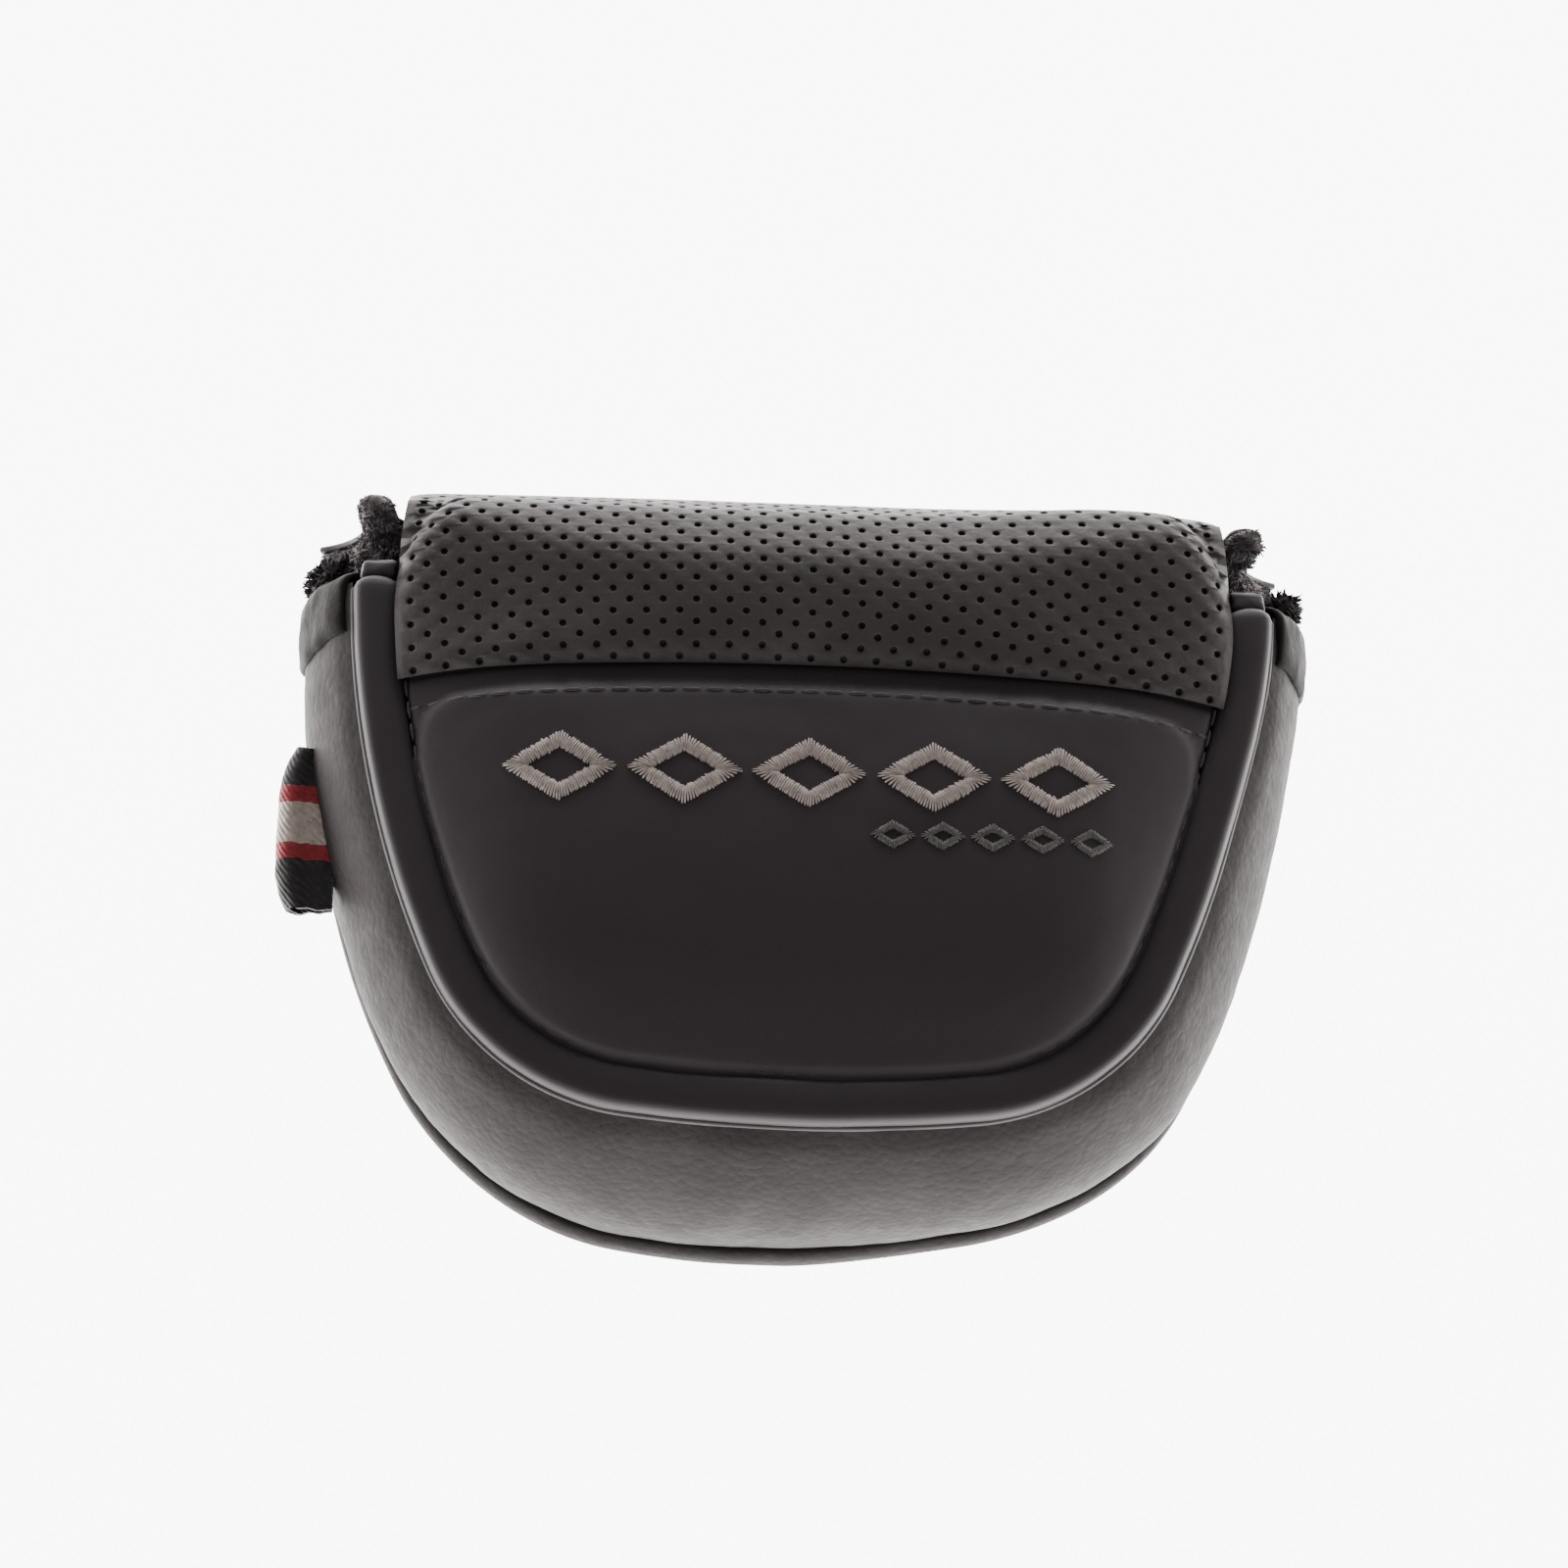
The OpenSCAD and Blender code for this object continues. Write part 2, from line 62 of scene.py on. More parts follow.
MM = 0.001
SEAM_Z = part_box("gusset_outer")[1].z
WELT_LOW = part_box("front_rim")[0]
FLAP_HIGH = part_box("flap_leather")[1]
TAB_LOW, TAB_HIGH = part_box("tab_fleece")
TAG_LOW, TAG_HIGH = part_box("tag_loop")
RIM_INSET = 1.3 * MM

# How far the right shoulder leans out, in millimetres
RIGHT_LEAN = 1.6

# Thicknesses, in millimetres
SKIN = 1.0
FLEECE = 1.6

# How the rim of both pads rises: the share and reach of its low lip, and the reach of the slope behind it
LIP_SHARE, LIP_REACH, SLOPE_REACH = 0.13, 0.9, 15


# ---------- Sizes and colours ----------

def length(name, text, default):
    return bpy.props.FloatProperty(name=name, description=text, default=default, unit="LENGTH")


def colour(name, text, default):
    return bpy.props.FloatVectorProperty(
        name=name, description=text, default=default, size=3, subtype="COLOR", min=0, max=1)


class CoverSizes(bpy.types.PropertyGroup):
    """Sizes of the cover"""
    front_width: length("Front width", "Width of the front between its side seams", 0.114)
    end_reach: length("Round end", "From the origin to the round end's front seam", RIM_INSET - WELT_LOW.y)
    side_start: length("Side start", "Where the sides start to curve in", 0.036)
    side_radius: length("Side radius", "Radius of the long side curves", 0.130)
    corner_radius: length("Corner radius", "Radius of the two corners of the round end", 0.030)
    end_radius: length("End radius", "Radius of the curve across the round end", 0.200)
    seam_height: length("Front seam height", "Height of the front seam", SEAM_Z)
    back_height: length("Back seam height", "Height of the back seam", 0.008)
    flare: length("Flare", "How far the back seam stands outside the front seam", 0.005)
    belly: length("Belly", "Extra bulge of the side band halfway up", 0.0045)
    end_slide: length("End slide", "Extra reach of the back seam at the round end", 0.005)
    pad_edge: length("Pad edge", "From the front seam to the edge of both pads", 0.0059)
    seam_y: length("Arched seam", "From the origin to the middle of the arched seam", 0.0200)
    seam_radius: length("Arched seam radius", "Radius of the arched seam", 0.5)
    crown: length("Crown", "Highest point of the smooth pad above the front seam", 0.005)
    fold_radius: length("Fold radius", "Radius of the perforated pad over the fold", 0.016)
    fold_y: length("Fold place", "From the origin to the axis of the fold", 0.0285)
    mouth_front: length("Mouth at the front", "End of the side band at the front seam", 0.0315)
    mouth_back: length("Mouth at the back", "End of the side band at the back seam", 0.0350)
    hole_pitch: length("Hole pitch", "Distance between holes in one row", 0.00405)
    hole_row: length("Row pitch", "Distance between rows of holes", 0.00143)
    hole_width: length("Hole width", "Diameter of one hole", 0.00098)
    stitch: length("Stitch length", "Length of one topstitch", 0.0023)
    pile: length("Pile", "Length of the fleece's pile", 0.0017)


class CoverColours(bpy.types.PropertyGroup):
    """Colours of the cover"""
    leather: colour("Leatherette", "Black leatherette", (0.060, 0.054, 0.0545))
    fleece: colour("Fleece", "Black plush", (0.021, 0.019, 0.0195))
    pale_thread: colour("Pale thread", "Satin stitch of the large row", (0.47, 0.40, 0.37))
    grey_thread: colour("Grey thread", "Satin stitch of the small row", (0.125, 0.115, 0.112))
    dark_thread: colour("Black thread", "Sewing thread", (0.060, 0.053, 0.054))
    ribbon_red: colour("Ribbon red", "Red stripes", (0.42, 0.025, 0.035))
    ribbon_white: colour("Ribbon white", "Middle stripe", (0.66, 0.57, 0.50))
    ribbon_black: colour("Ribbon black", "Edges of the ribbon", (0.022, 0.02, 0.02))


# ---------- The cover's outline and surfaces, in millimetres ----------

class Shape:
    """The D-shaped outline, and the heights of what lies on it."""

    # The front's gentle curve from side to side, and its highest point above the front seam
    CROSS_RADIUS, CROSS_RISE = 260, 6.6
    # The groove's floor below the front seam
    GROOVE_DROP = 0.45
    # Where the smooth pad is highest, and how slowly it falls away from there
    CROWN_Y, CROWN_FALL = 2, 280
    # Depth and reach of the dip along the topstitched ridge, and of the valley at the arched seam
    RIDGE_DIP, RIDGE_REACH = 0.75, 1.7
    VALLEY_DIP, VALLEY_REACH = 0.3, 1.3
    # The ridge runs this far below the arched seam, and turns into the pad's sides on this radius
    RIDGE_INSET, RIDGE_CORNER = 2.8, 7.0
    # How far the filling draws in the right and the left corner of the round end
    TUCK_RIGHT, TUCK_LEFT = 2.3, 1.5

    def __init__(self):
        s = bpy.context.scene.cover_sizes
        for key in CoverSizes.__annotations__:
            setattr(self, key, getattr(s, key) / MM)
        self.half = self.front_width / 2
        self.side_c = np.array([self.half - self.side_radius, self.side_start])
        self.end_c = np.array([0.0, self.end_radius - self.end_reach])
        side_gap = self.side_radius - self.corner_radius
        end_gap = self.end_radius - self.corner_radius
        between = np.linalg.norm(self.end_c - self.side_c)
        along = (side_gap ** 2 - end_gap ** 2 + between ** 2) / (2 * between)
        across = math.sqrt(side_gap ** 2 - along ** 2)
        toward = (self.end_c - self.side_c) / between
        self.corner_c = self.side_c + along * toward + across * np.array([toward[1], -toward[0]])
        to_side = self.corner_c - self.side_c
        to_end = self.corner_c - self.end_c
        self.side_end = math.atan2(to_side[1], to_side[0])
        self.corner_end = math.atan2(to_end[1], to_end[0])

    def slide(self, z):
        """How far the outline has slid towards the round end at a height."""
        down = (self.seam_height - z) / (self.seam_height - self.back_height)
        return self.end_slide * min(1, max(0, down))

    def band_off(self, z):
        """How far the side band stands outside the front seam at a height."""
        down = (self.seam_height - z) / (self.seam_height - self.back_height)
        return self.flare * down + 4 * self.belly * down * (1 - down)

    def side_x(self, y, off):
        """Half the outline's width at a place along Y."""
        if y >= self.side_start:
            return self.half + off
        r = self.side_radius + off
        return self.side_c[0] + math.sqrt(max(r * r - (y - self.side_start) ** 2, 0))

    def mouth(self, z):
        """Where the side band ends at a height."""
        down = (self.seam_height - z) / (self.seam_height - self.back_height)
        return self.mouth_front + (self.mouth_back - self.mouth_front) * down

    def run(self, off, z, top, counts=(44, 30, 14)):
        """Points of the outline at one offset and height, from the right-hand end round to the left."""
        slide = self.slide(z)
        start = top + slide
        low = self.side_start + (self.side_radius + off) * math.sin(self.side_end)
        right = []
        for i in range(counts[0]):
            y = start + (low - start) * i / counts[0]
            right.append((self.side_x(y, off), y - slide))
        for i in range(counts[1]):
            a = self.side_end + (self.corner_end - self.side_end) * i / counts[1]
            r = self.corner_radius + off
            right.append((self.corner_c[0] + r * math.cos(a), self.corner_c[1] + r * math.sin(a) - slide))
        for i in range(counts[2] + 1):
            a = self.corner_end + (-math.pi / 2 - self.corner_end) * i / counts[2]
            r = self.end_radius + off
            right.append((r * math.cos(a), self.end_c[1] + r * math.sin(a) - slide))
        both = right + [(-x, y) for x, y in reversed(right[:-1])]
        return [self.pulled_in(x, y + slide, slide) for x, y in both]

    def pulled_in(self, x, y, slide):
        """A point of the outline with its corner drawn in towards the back, then moved by the slide."""
        side = math.copysign(1, x)
        out = np.array([x - side * self.corner_c[0], y - self.corner_c[1]])
        p = np.array([x, y]) - out / np.linalg.norm(out) * self.tuck(x, y) * slide / self.end_slide
        return (p[0], p[1] - slide)

    def tuck(self, x, y):
        """How far the filling draws in each corner of the round end at the back."""
        a = math.atan2(y - self.corner_c[1], abs(x) - self.corner_c[0])
        turn = (a - self.side_end) / (self.corner_end - self.side_end)
        right = self.TUCK_RIGHT * math.exp(-((turn - 0.8) / 0.6) ** 2)
        left = self.TUCK_LEFT * math.exp(-((turn - 0.4) / 0.6) ** 2)
        share = smooth_step(-12, 12, x)
        return right * share + left * (1 - share)

    def inside(self, x, y):
        """How far a point lies inside the front seam."""
        x = abs(x)
        if y >= self.side_start:
            return self.half - x
        from_corner = (x - self.corner_c[0], y - self.corner_c[1])
        a = math.atan2(from_corner[1], from_corner[0])
        if self.corner_end <= a <= self.side_end:
            return self.corner_radius - math.hypot(*from_corner)
        side = self.side_radius - math.hypot(x - self.side_c[0], y - self.side_c[1])
        end = self.end_radius - math.hypot(x - self.end_c[0], y - self.end_c[1])
        return min(side, end)

    def arch(self, x, inset=0.0):
        """Where the arched seam lies along Y, moved towards the round end by inset."""
        r = self.seam_radius - inset
        return self.seam_y - self.seam_radius + math.sqrt(r * r - x * x)

    def cross(self, x):
        """Height of the front's curve from side to side."""
        r = self.CROSS_RADIUS
        return self.seam_height + self.CROSS_RISE - r + math.sqrt(r * r - x * x)

    def smooth_pad(self, x, y):
        """Height of the smooth lower pad, and of the strip between it and the perforated pad."""
        floor = self.seam_height - self.GROOVE_DROP
        crown = self.seam_height + self.crown - (y - self.CROWN_Y) ** 2 / self.CROWN_FALL
        top = soft_min(crown, self.cross(x), 1.2) + 0.3
        edge = self.inside(x, y) - self.pad_edge + 0.2
        ridge = self.arch(x, self.RIDGE_INSET) - y
        corner = self.RIDGE_CORNER
        if edge < corner and ridge < corner:
            ridge = min(ridge, corner - math.hypot(corner - edge, corner - ridge))
        dip = self.RIDGE_DIP * (1 - pillow(ridge, self.RIDGE_REACH))
        valley = self.VALLEY_DIP * (1 - pillow(self.arch(x) - y, self.VALLEY_REACH))
        return floor + (top - floor) * edge_rise(edge) - dip - valley


def soft_min(a, b, k):
    """The lower of two heights, blended over k where they meet."""
    h = max(k - abs(a - b), 0) / k
    return min(a, b) - h * h * k / 4


def pillow(depth, reach):
    """From 0 at an edge to 1 at reach inside it, on a quarter circle."""
    t = min(max(depth / reach, 0), 1)
    return math.sqrt(1 - (1 - t) ** 2)


def edge_rise(depth):
    """How the two pads rise from the groove: a low lip, then a long soft slope."""
    return LIP_SHARE * pillow(depth, LIP_REACH) + (1 - LIP_SHARE) * pillow(depth, SLOPE_REACH)


def smooth_step(a, b, x):
    """From 0 at a to 1 at b, level at both."""
    t = min(max((x - a) / (b - a), 0), 1)
    return t * t * (3 - 2 * t)


# ---------- Mesh helpers ----------

def make_object(name, verts, faces, flip=False):
    """A mesh object from points in millimetres."""
    mesh = bpy.data.meshes.new(name)
    if flip:
        faces = [tuple(reversed(f)) for f in faces]
    mesh.from_pydata((np.asarray(verts, float) * MM).tolist(), [], faces)
    mesh.validate()
    obj = bpy.data.objects.new(name, mesh)
    bpy.context.scene.collection.objects.link(obj)
    return obj


def grid_faces(rows, columns, wrap=False, start=0):
    """Quads over a grid of points, wrapped round in the column direction on request."""
    last = columns if wrap else columns - 1
    faces = []
    for i in range(rows - 1):
        for j in range(last):
            k = (j + 1) % columns
            faces.append((start + i * columns + j, start + i * columns + k,
                          start + (i + 1) * columns + k, start + (i + 1) * columns + j))
    return faces


def select_only(obj):
    bpy.ops.object.select_all(action="DESELECT")
    obj.select_set(True)
    bpy.context.view_layer.objects.active = obj


def face_out(obj):
    """Merges doubles and turns every face outwards on a closed mesh."""
    select_only(obj)
    bpy.ops.object.mode_set(mode="EDIT")
    bpy.ops.mesh.select_all(action="SELECT")
    bpy.ops.mesh.remove_doubles(threshold=0.002 * MM)
    bpy.ops.mesh.normals_make_consistent(inside=False)
    bpy.ops.object.mode_set(mode="OBJECT")
    return obj


def smooth(obj, angle):
    """Shades smooth across every edge flatter than the angle, in degrees."""
    select_only(obj)
    bpy.ops.object.shade_smooth_by_angle(angle=math.radians(angle), keep_sharp_edges=False)
    return obj


def apply_modifier(obj, kind, **settings):
    """Adds one modifier with its settings and applies it."""
    select_only(obj)
    modifier = obj.modifiers.new(kind.title(), kind)
    for key, value in settings.items():
        setattr(modifier, key, value)
    bpy.ops.object.modifier_apply(modifier=modifier.name)
    return obj


def paint(obj, *materials):
    obj.data.materials.clear()
    for material in materials:
        obj.data.materials.append(material)
    return obj


def ruffle(obj, amount, scale, seed, stretch=(1, 1, 1), where=None):
    """Moves the points along their normals by smooth noise, amount in millimetres."""
    mesh = obj.data
    mesh.calc_loop_triangles()
    place = Vector((seed * 3.1, seed * 1.7, seed * 5.3))
    normals = [v.normal.copy() for v in mesh.vertices]
    for v, n in zip(mesh.vertices, normals):
        p = Vector([v.co[k] / MM / scale * stretch[k] for k in range(3)]) + place
        share = 1 if where is None else where(v.co / MM)
        v.co += n * (noise.noise(p) + 0.5 * noise.noise(p * 2.1)) * amount * share * MM
    mesh.update()
    return obj


def rounded_ends(section, paths, reach):
    """Adds rings that close a swept section with a round end at both ends of its path."""
    ends = []
    for at, inner in ((0, 1), (-1, -2)):
        ring = np.array([[*path[at], s[1]] for path, s in zip(paths, section)])
        before = np.array([[*path[inner], s[1]] for path, s in zip(paths, section)])
        step = (ring - before).mean(axis=0)
        step /= np.linalg.norm(step)
        middle = ring.mean(axis=0)
        caps = []
        for turn in (30, 55, 75, 88):
            a = math.radians(turn)
            caps.append(middle + (ring - middle) * math.cos(a) + step * reach * math.sin(a))
        ends.append(caps)
    return ends


def sweep(name, shape, section, top, round_end=0.0, counts=(44, 30, 14)):
    """A closed section of (offset, height) points swept round the outline; top says where it ends."""
    paths = [shape.run(off, z, top(z) if callable(top) else top, counts) for off, z in section]
    rings = [np.array([[*path[i], s[1]] for path, s in zip(paths, section)]) for i in range(len(paths[0]))]
    if round_end:
        first, last = rounded_ends(section, paths, round_end)
        rings = list(reversed(first)) + rings + last
    n = len(section)
    verts = np.concatenate(rings)
    faces = grid_faces(len(rings), n, wrap=True)
    faces.append(tuple(range(n)))
    faces.append(tuple(range((len(rings) - 1) * n, len(rings) * n))[::-1])
    return face_out(make_object(name, verts, faces))


def across(name, low, high, height, steps, thickness, flip=False):
    """A plate between two matching edges of (x, y) points, at the height that a function gives."""
    n = len(low)
    ts = [0.5 - 0.5 * math.cos(math.pi * i / steps) for i in range(steps + 1)]
    ts = [0.6 * t + 0.4 * i / steps for i, t in enumerate(ts)]
    verts = []
    for t in ts:
        for (x0, y0), (x1, y1) in zip(low, high):
            x, y = x0 + (x1 - x0) * t, y0 + (y1 - y0) * t
            verts.append((x, y, height(x, y)))
    obj = make_object(name, verts, grid_faces(steps + 1, n), flip)
    return apply_modifier(obj, "SOLIDIFY", thickness=thickness * MM, offset=-1)


def filled(name, line, pull):
    """A plate with one flat outline of points, pulled to its thickness."""
    mesh = bpy.data.meshes.new(name)
    edge = bmesh.new()
    face = edge.faces.new([edge.verts.new(Vector(p) * MM) for p in line])
    pulled = bmesh.ops.extrude_face_region(edge, geom=[face])
    moved = [g for g in pulled["geom"] if isinstance(g, bmesh.types.BMVert)]
    bmesh.ops.translate(edge, verts=moved, vec=Vector(pull) * MM)
    edge.to_mesh(mesh)
    edge.free()
    obj = bpy.data.objects.new(name, mesh)
    bpy.context.scene.collection.objects.link(obj)
    return face_out(obj)


def tufts(obj, count, pile, width, seed, keep, stray=0.0):
    """Adds short curved tufts of pile, of three sides each, to the faces of a fleece mesh that keep picks."""
    mesh = obj.data
    mesh.calc_loop_triangles()
    co = np.empty(len(mesh.vertices) * 3)
    mesh.vertices.foreach_get("co", co)
    co = co.reshape(-1, 3) / MM
    tri = np.array([t.vertices[:] for t in mesh.loop_triangles])
    a, b, c = co[tri[:, 0]], co[tri[:, 1]], co[tri[:, 2]]
    normal = np.cross(b - a, c - a)
    area = np.linalg.norm(normal, axis=1)
    area = area * keep((a + b + c) / 3, normal / np.maximum(area, 1e-9)[:, None])
    rng = np.random.default_rng(seed)
    pick = rng.choice(len(tri), count, p=area / area.sum())
    u, v = rng.random(count), rng.random(count)
    over = u + v > 1
    u[over], v[over] = 1 - u[over], 1 - v[over]
    root = a[pick] + (b[pick] - a[pick]) * u[:, None] + (c[pick] - a[pick]) * v[:, None]
    up = normal[pick] / np.linalg.norm(normal[pick], axis=1)[:, None]
    side = np.cross(up, rng.normal(size=(count, 3)))
    side /= np.linalg.norm(side, axis=1)[:, None]
    other = np.cross(up, side)
    tall = pile * (0.55 + 0.6 * rng.random(count)) * np.where(rng.random(count) < stray, 2.0, 1.0)
    bend = side * (rng.random(count) * 0.8)[:, None]
    rings = []
    for share, girth in ((-0.15, 1.0), (0.5, 0.8)):
        middle = root + up * (tall * share)[:, None] + bend * (tall * max(share, 0) ** 2)[:, None]
        for k in range(3):
            turn = 2 * math.pi * k / 3
            rings.append(middle + (side * math.cos(turn) + other * math.sin(turn)) * width * girth)
    tip = root + up * (tall * 0.9)[:, None] + bend * (tall * 0.9)[:, None]
    points = np.stack([*rings, tip], axis=1).reshape(-1, 3)
    start = len(co)
    faces = [tuple(p.vertices) for p in mesh.polygons]
    for i in range(count):
        s = start + i * 7
        for k in range(3):
            j = (k + 1) % 3
            faces.append((s + k, s + j, s + 3 + j, s + 3 + k))
            faces.append((s + 3 + k, s + 3 + j, s + 6))
    fuzzy = bpy.data.meshes.new(obj.name)
    fuzzy.from_pydata((np.concatenate([co, points]) * MM).tolist(), [], faces)
    fuzzy.polygons.foreach_set("use_smooth", [True] * len(fuzzy.polygons))
    for material in mesh.materials:
        fuzzy.materials.append(material)
    obj.data = fuzzy
    return obj


def stitch_shape(long, wide, tall):
    """Points and faces of one stitch: a sphere stretched along X, its ends tucked down."""
    bpy.ops.object.select_all(action="DESELECT")
    bpy.ops.mesh.primitive_uv_sphere_add(segments=8, ring_count=6, radius=1, rotation=(0, math.pi / 2, 0))
    ball = bpy.context.active_object
    bpy.ops.object.transform_apply(rotation=True)
    co = np.array([v.co[:] for v in ball.data.vertices])
    faces = [tuple(p.vertices) for p in ball.data.polygons]
    bpy.data.objects.remove(ball)
    co[:, 0] = np.sign(co[:, 0]) * np.abs(co[:, 0]) ** 0.7
    return co * [long / 2, wide / 2, tall / 2], faces


def lay_stitches(name, places, long, wide, tall):
    """Copies of a stitch, each at a point with a direction along it and an up direction."""
    co, faces = stitch_shape(long, wide, tall)
    verts, all_faces = [], []
    for point, along, up in places:
        x = Vector(along).normalized()
        y = Vector(up).cross(x).normalized()
        z = x.cross(y)
        turn = np.array([x, y, z])
        start = len(verts) * len(co)
        verts.append(co @ turn + np.array(point))
        all_faces += [tuple(start + i for i in f) for f in faces]
    obj = make_object(name, np.concatenate(verts), all_faces)
    obj.data.polygons.foreach_set("use_smooth", [True] * len(obj.data.polygons))
    return obj


def spaced(points, pitch):
    """Points and directions at an even pitch along a line of points."""
    pts = np.array(points, float)
    legs = np.linalg.norm(np.diff(pts, axis=0), axis=1)
    far = np.concatenate([[0], np.cumsum(legs)])
    count = int(far[-1] // pitch)
    out = []
    for i in range(count):
        d = (i + 0.5) * far[-1] / count
        k = min(int(np.searchsorted(far, d)) - 1, len(legs) - 1)
        share = (d - far[k]) / legs[k]
        out.append((pts[k] + (pts[k + 1] - pts[k]) * share, pts[k + 1] - pts[k]))
    return out


# ---------- Materials ----------

class Nodes:
    """A new material and its node tree, with short calls to add and join nodes."""

    def __init__(self, name):
        self.material = bpy.data.materials.new(name)
        self.material.use_nodes = True
        self.tree = self.material.node_tree
        self.shader = self.tree.nodes["Principled BSDF"]
        self.place = self.add("ShaderNodeTexCoord").outputs["Object"]

    def add(self, kind, **settings):
        node = self.tree.nodes.new(kind)
        for key, value in settings.items():
            if key in node.inputs:
                node.inputs[key].default_value = value
            else:
                setattr(node, key, value)
        return node

    def join(self, a, b):
        self.tree.links.new(a, b)

    def noise(self, scale, detail=3.0, rough=0.5):
        node = self.add("ShaderNodeTexNoise", Scale=scale, Detail=detail, Roughness=rough)
        self.join(self.place, node.inputs["Vector"])
        return node.outputs["Fac"]

    def cells(self, scale, feature="F1"):
        node = self.add("ShaderNodeTexVoronoi", feature=feature, Scale=scale)
        self.join(self.place, node.inputs["Vector"])
        return node.outputs["Distance"]

    def ramp(self, source, stops):
        """A colour ramp with stops of (place, colour or grey)."""
        node = self.add("ShaderNodeValToRGB")
        ramp = node.color_ramp
        while len(ramp.elements) < len(stops):
            ramp.elements.new(0.5)
        for element, (at, value) in zip(ramp.elements, stops):
            element.position = at
            element.color = (*value, 1) if hasattr(value, "__len__") else (value, value, value, 1)
        self.join(source, node.inputs["Fac"])
        return node.outputs["Color"]

    def bump(self, height, strength, distance, before=None):
        node = self.add("ShaderNodeBump", Strength=strength, Distance=distance)
        self.join(height, node.inputs["Height"])
        if before is not None:
            self.join(before, node.inputs["Normal"])
        return node.outputs["Normal"]


def tint(base, share):
    return tuple(min(1, c * share) for c in base)


def leather_material(name, base, grain=1150, strength=0.34, shine=0.11):
    """Pebbled leatherette with fine creases and uneven colour."""
    n = Nodes(name)
    mottled = n.noise(70, 4, 0.6)
    shade = n.ramp(mottled, [(0.3, tint(base, 0.82)), (0.55, base), (0.8, tint(base, 1.32))])
    n.join(shade, n.shader.inputs["Base Color"])
    rough = n.ramp(n.noise(420, 3, 0.6), [(0.3, 0.46), (0.7, 0.60)])
    n.join(rough, n.shader.inputs["Roughness"])
    pebbles = n.ramp(n.cells(grain), [(0.0, 1.0), (0.42, 0.78), (0.8, 0.0)])
    creases = n.ramp(n.cells(grain * 0.42, "DISTANCE_TO_EDGE"), [(0.0, 0.0), (0.10, 1.0)])
    fine = n.noise(grain * 2.6, 2, 0.6)
    normal = n.bump(fine, 0.12, 0.00006)
    normal = n.bump(creases, strength * 0.35, 0.00006, normal)
    normal = n.bump(pebbles, strength, 0.00009, normal)
    n.join(normal, n.shader.inputs["Normal"])
    n.shader.inputs["Specular IOR Level"].default_value = shine
    n.shader.inputs["Sheen Weight"].default_value = 0.015
    n.shader.inputs["Sheen Roughness"].default_value = 0.5
    n.shader.inputs["Sheen Tint"].default_value = (0.95, 0.85, 0.82, 1)
    return n.material


def fleece_material(name, base):
    """Matt, curly pile."""
    n = Nodes(name)
    shade = n.ramp(n.noise(260, 5, 0.7), [(0.3, tint(base, 0.6)), (0.7, tint(base, 2.2))])
    n.join(shade, n.shader.inputs["Base Color"])
    n.shader.inputs["Roughness"].default_value = 0.95
    n.shader.inputs["Specular IOR Level"].default_value = 0.15
    n.shader.inputs["Sheen Weight"].default_value = 0.06
    n.shader.inputs["Sheen Roughness"].default_value = 0.45
    n.shader.inputs["Sheen Tint"].default_value = (0.75, 0.7, 0.7, 1)
    curls = n.bump(n.noise(900, 6, 0.75), 0.8, 0.0005)
    n.join(n.bump(n.cells(600), 0.5, 0.0006, curls), n.shader.inputs["Normal"])
    return n.material


def thread_material(name, base):
    """Twisted thread with a soft sheen."""
    n = Nodes(name)
    shade = n.ramp(n.noise(1400, 3, 0.7), [(0.3, tint(base, 0.66)), (0.5, base), (0.75, tint(base, 1.3))])
    n.join(shade, n.shader.inputs["Base Color"])
    n.join(n.ramp(n.noise(900, 2), [(0.3, 0.42), (0.7, 0.62)]), n.shader.inputs["Roughness"])
    n.shader.inputs["Sheen Weight"].default_value = 0.3
    n.shader.inputs["Sheen Roughness"].default_value = 0.4
    ply = n.noise(2600, 4, 0.7)
    n.join(n.bump(ply, 0.5, 0.00008), n.shader.inputs["Normal"])
    return n.material


def ribbon_material(name, colours, low, high):
    """Stripes across the ribbon's width, with a twill weave."""
    n = Nodes(name)
    split = n.add("ShaderNodeSeparateXYZ")
    n.join(n.place, split.inputs["Vector"])
    wobble = n.add("ShaderNodeMath", operation="MULTIPLY_ADD")
    n.join(n.noise(900, 2), wobble.inputs[0])
    wobble.inputs[1].default_value = 0.0006
    n.join(split.outputs["Y"], wobble.inputs[2])
    span = n.add("ShaderNodeMapRange")
    span.inputs["From Min"].default_value = low + 0.0003
    span.inputs["From Max"].default_value = high + 0.0003
    n.join(wobble.outputs[0], span.inputs["Value"])
    red, white, black = colours
    stops = [(0.0, black), (0.300, red), (0.398, white), (0.655, red), (0.757, black)]
    stripes = n.ramp(span.outputs["Result"], stops)
    stripes.node.color_ramp.interpolation = "CONSTANT"
    worn = n.ramp(n.noise(1500, 3, 0.7), [(0.3, 0.62), (0.7, 1.0)])
    mix = n.add("ShaderNodeMix", data_type="RGBA", blend_type="MULTIPLY")
    mix.inputs["Factor"].default_value = 0.8
    n.join(stripes, mix.inputs["A"])
    n.join(worn, mix.inputs["B"])
    n.join(mix.outputs["Result"], n.shader.inputs["Base Color"])
    n.shader.inputs["Roughness"].default_value = 0.8
    n.shader.inputs["Sheen Weight"].default_value = 0.3
    wave = n.add("ShaderNodeTexWave", bands_direction="DIAGONAL", Scale=620, Distortion=0.6)
    n.join(n.place, wave.inputs["Vector"])
    normal = n.bump(wave.outputs["Fac"], 0.7, 0.00018)
    n.join(n.bump(n.noise(2200, 3), 0.5, 0.0001, normal), n.shader.inputs["Normal"])
    return n.material


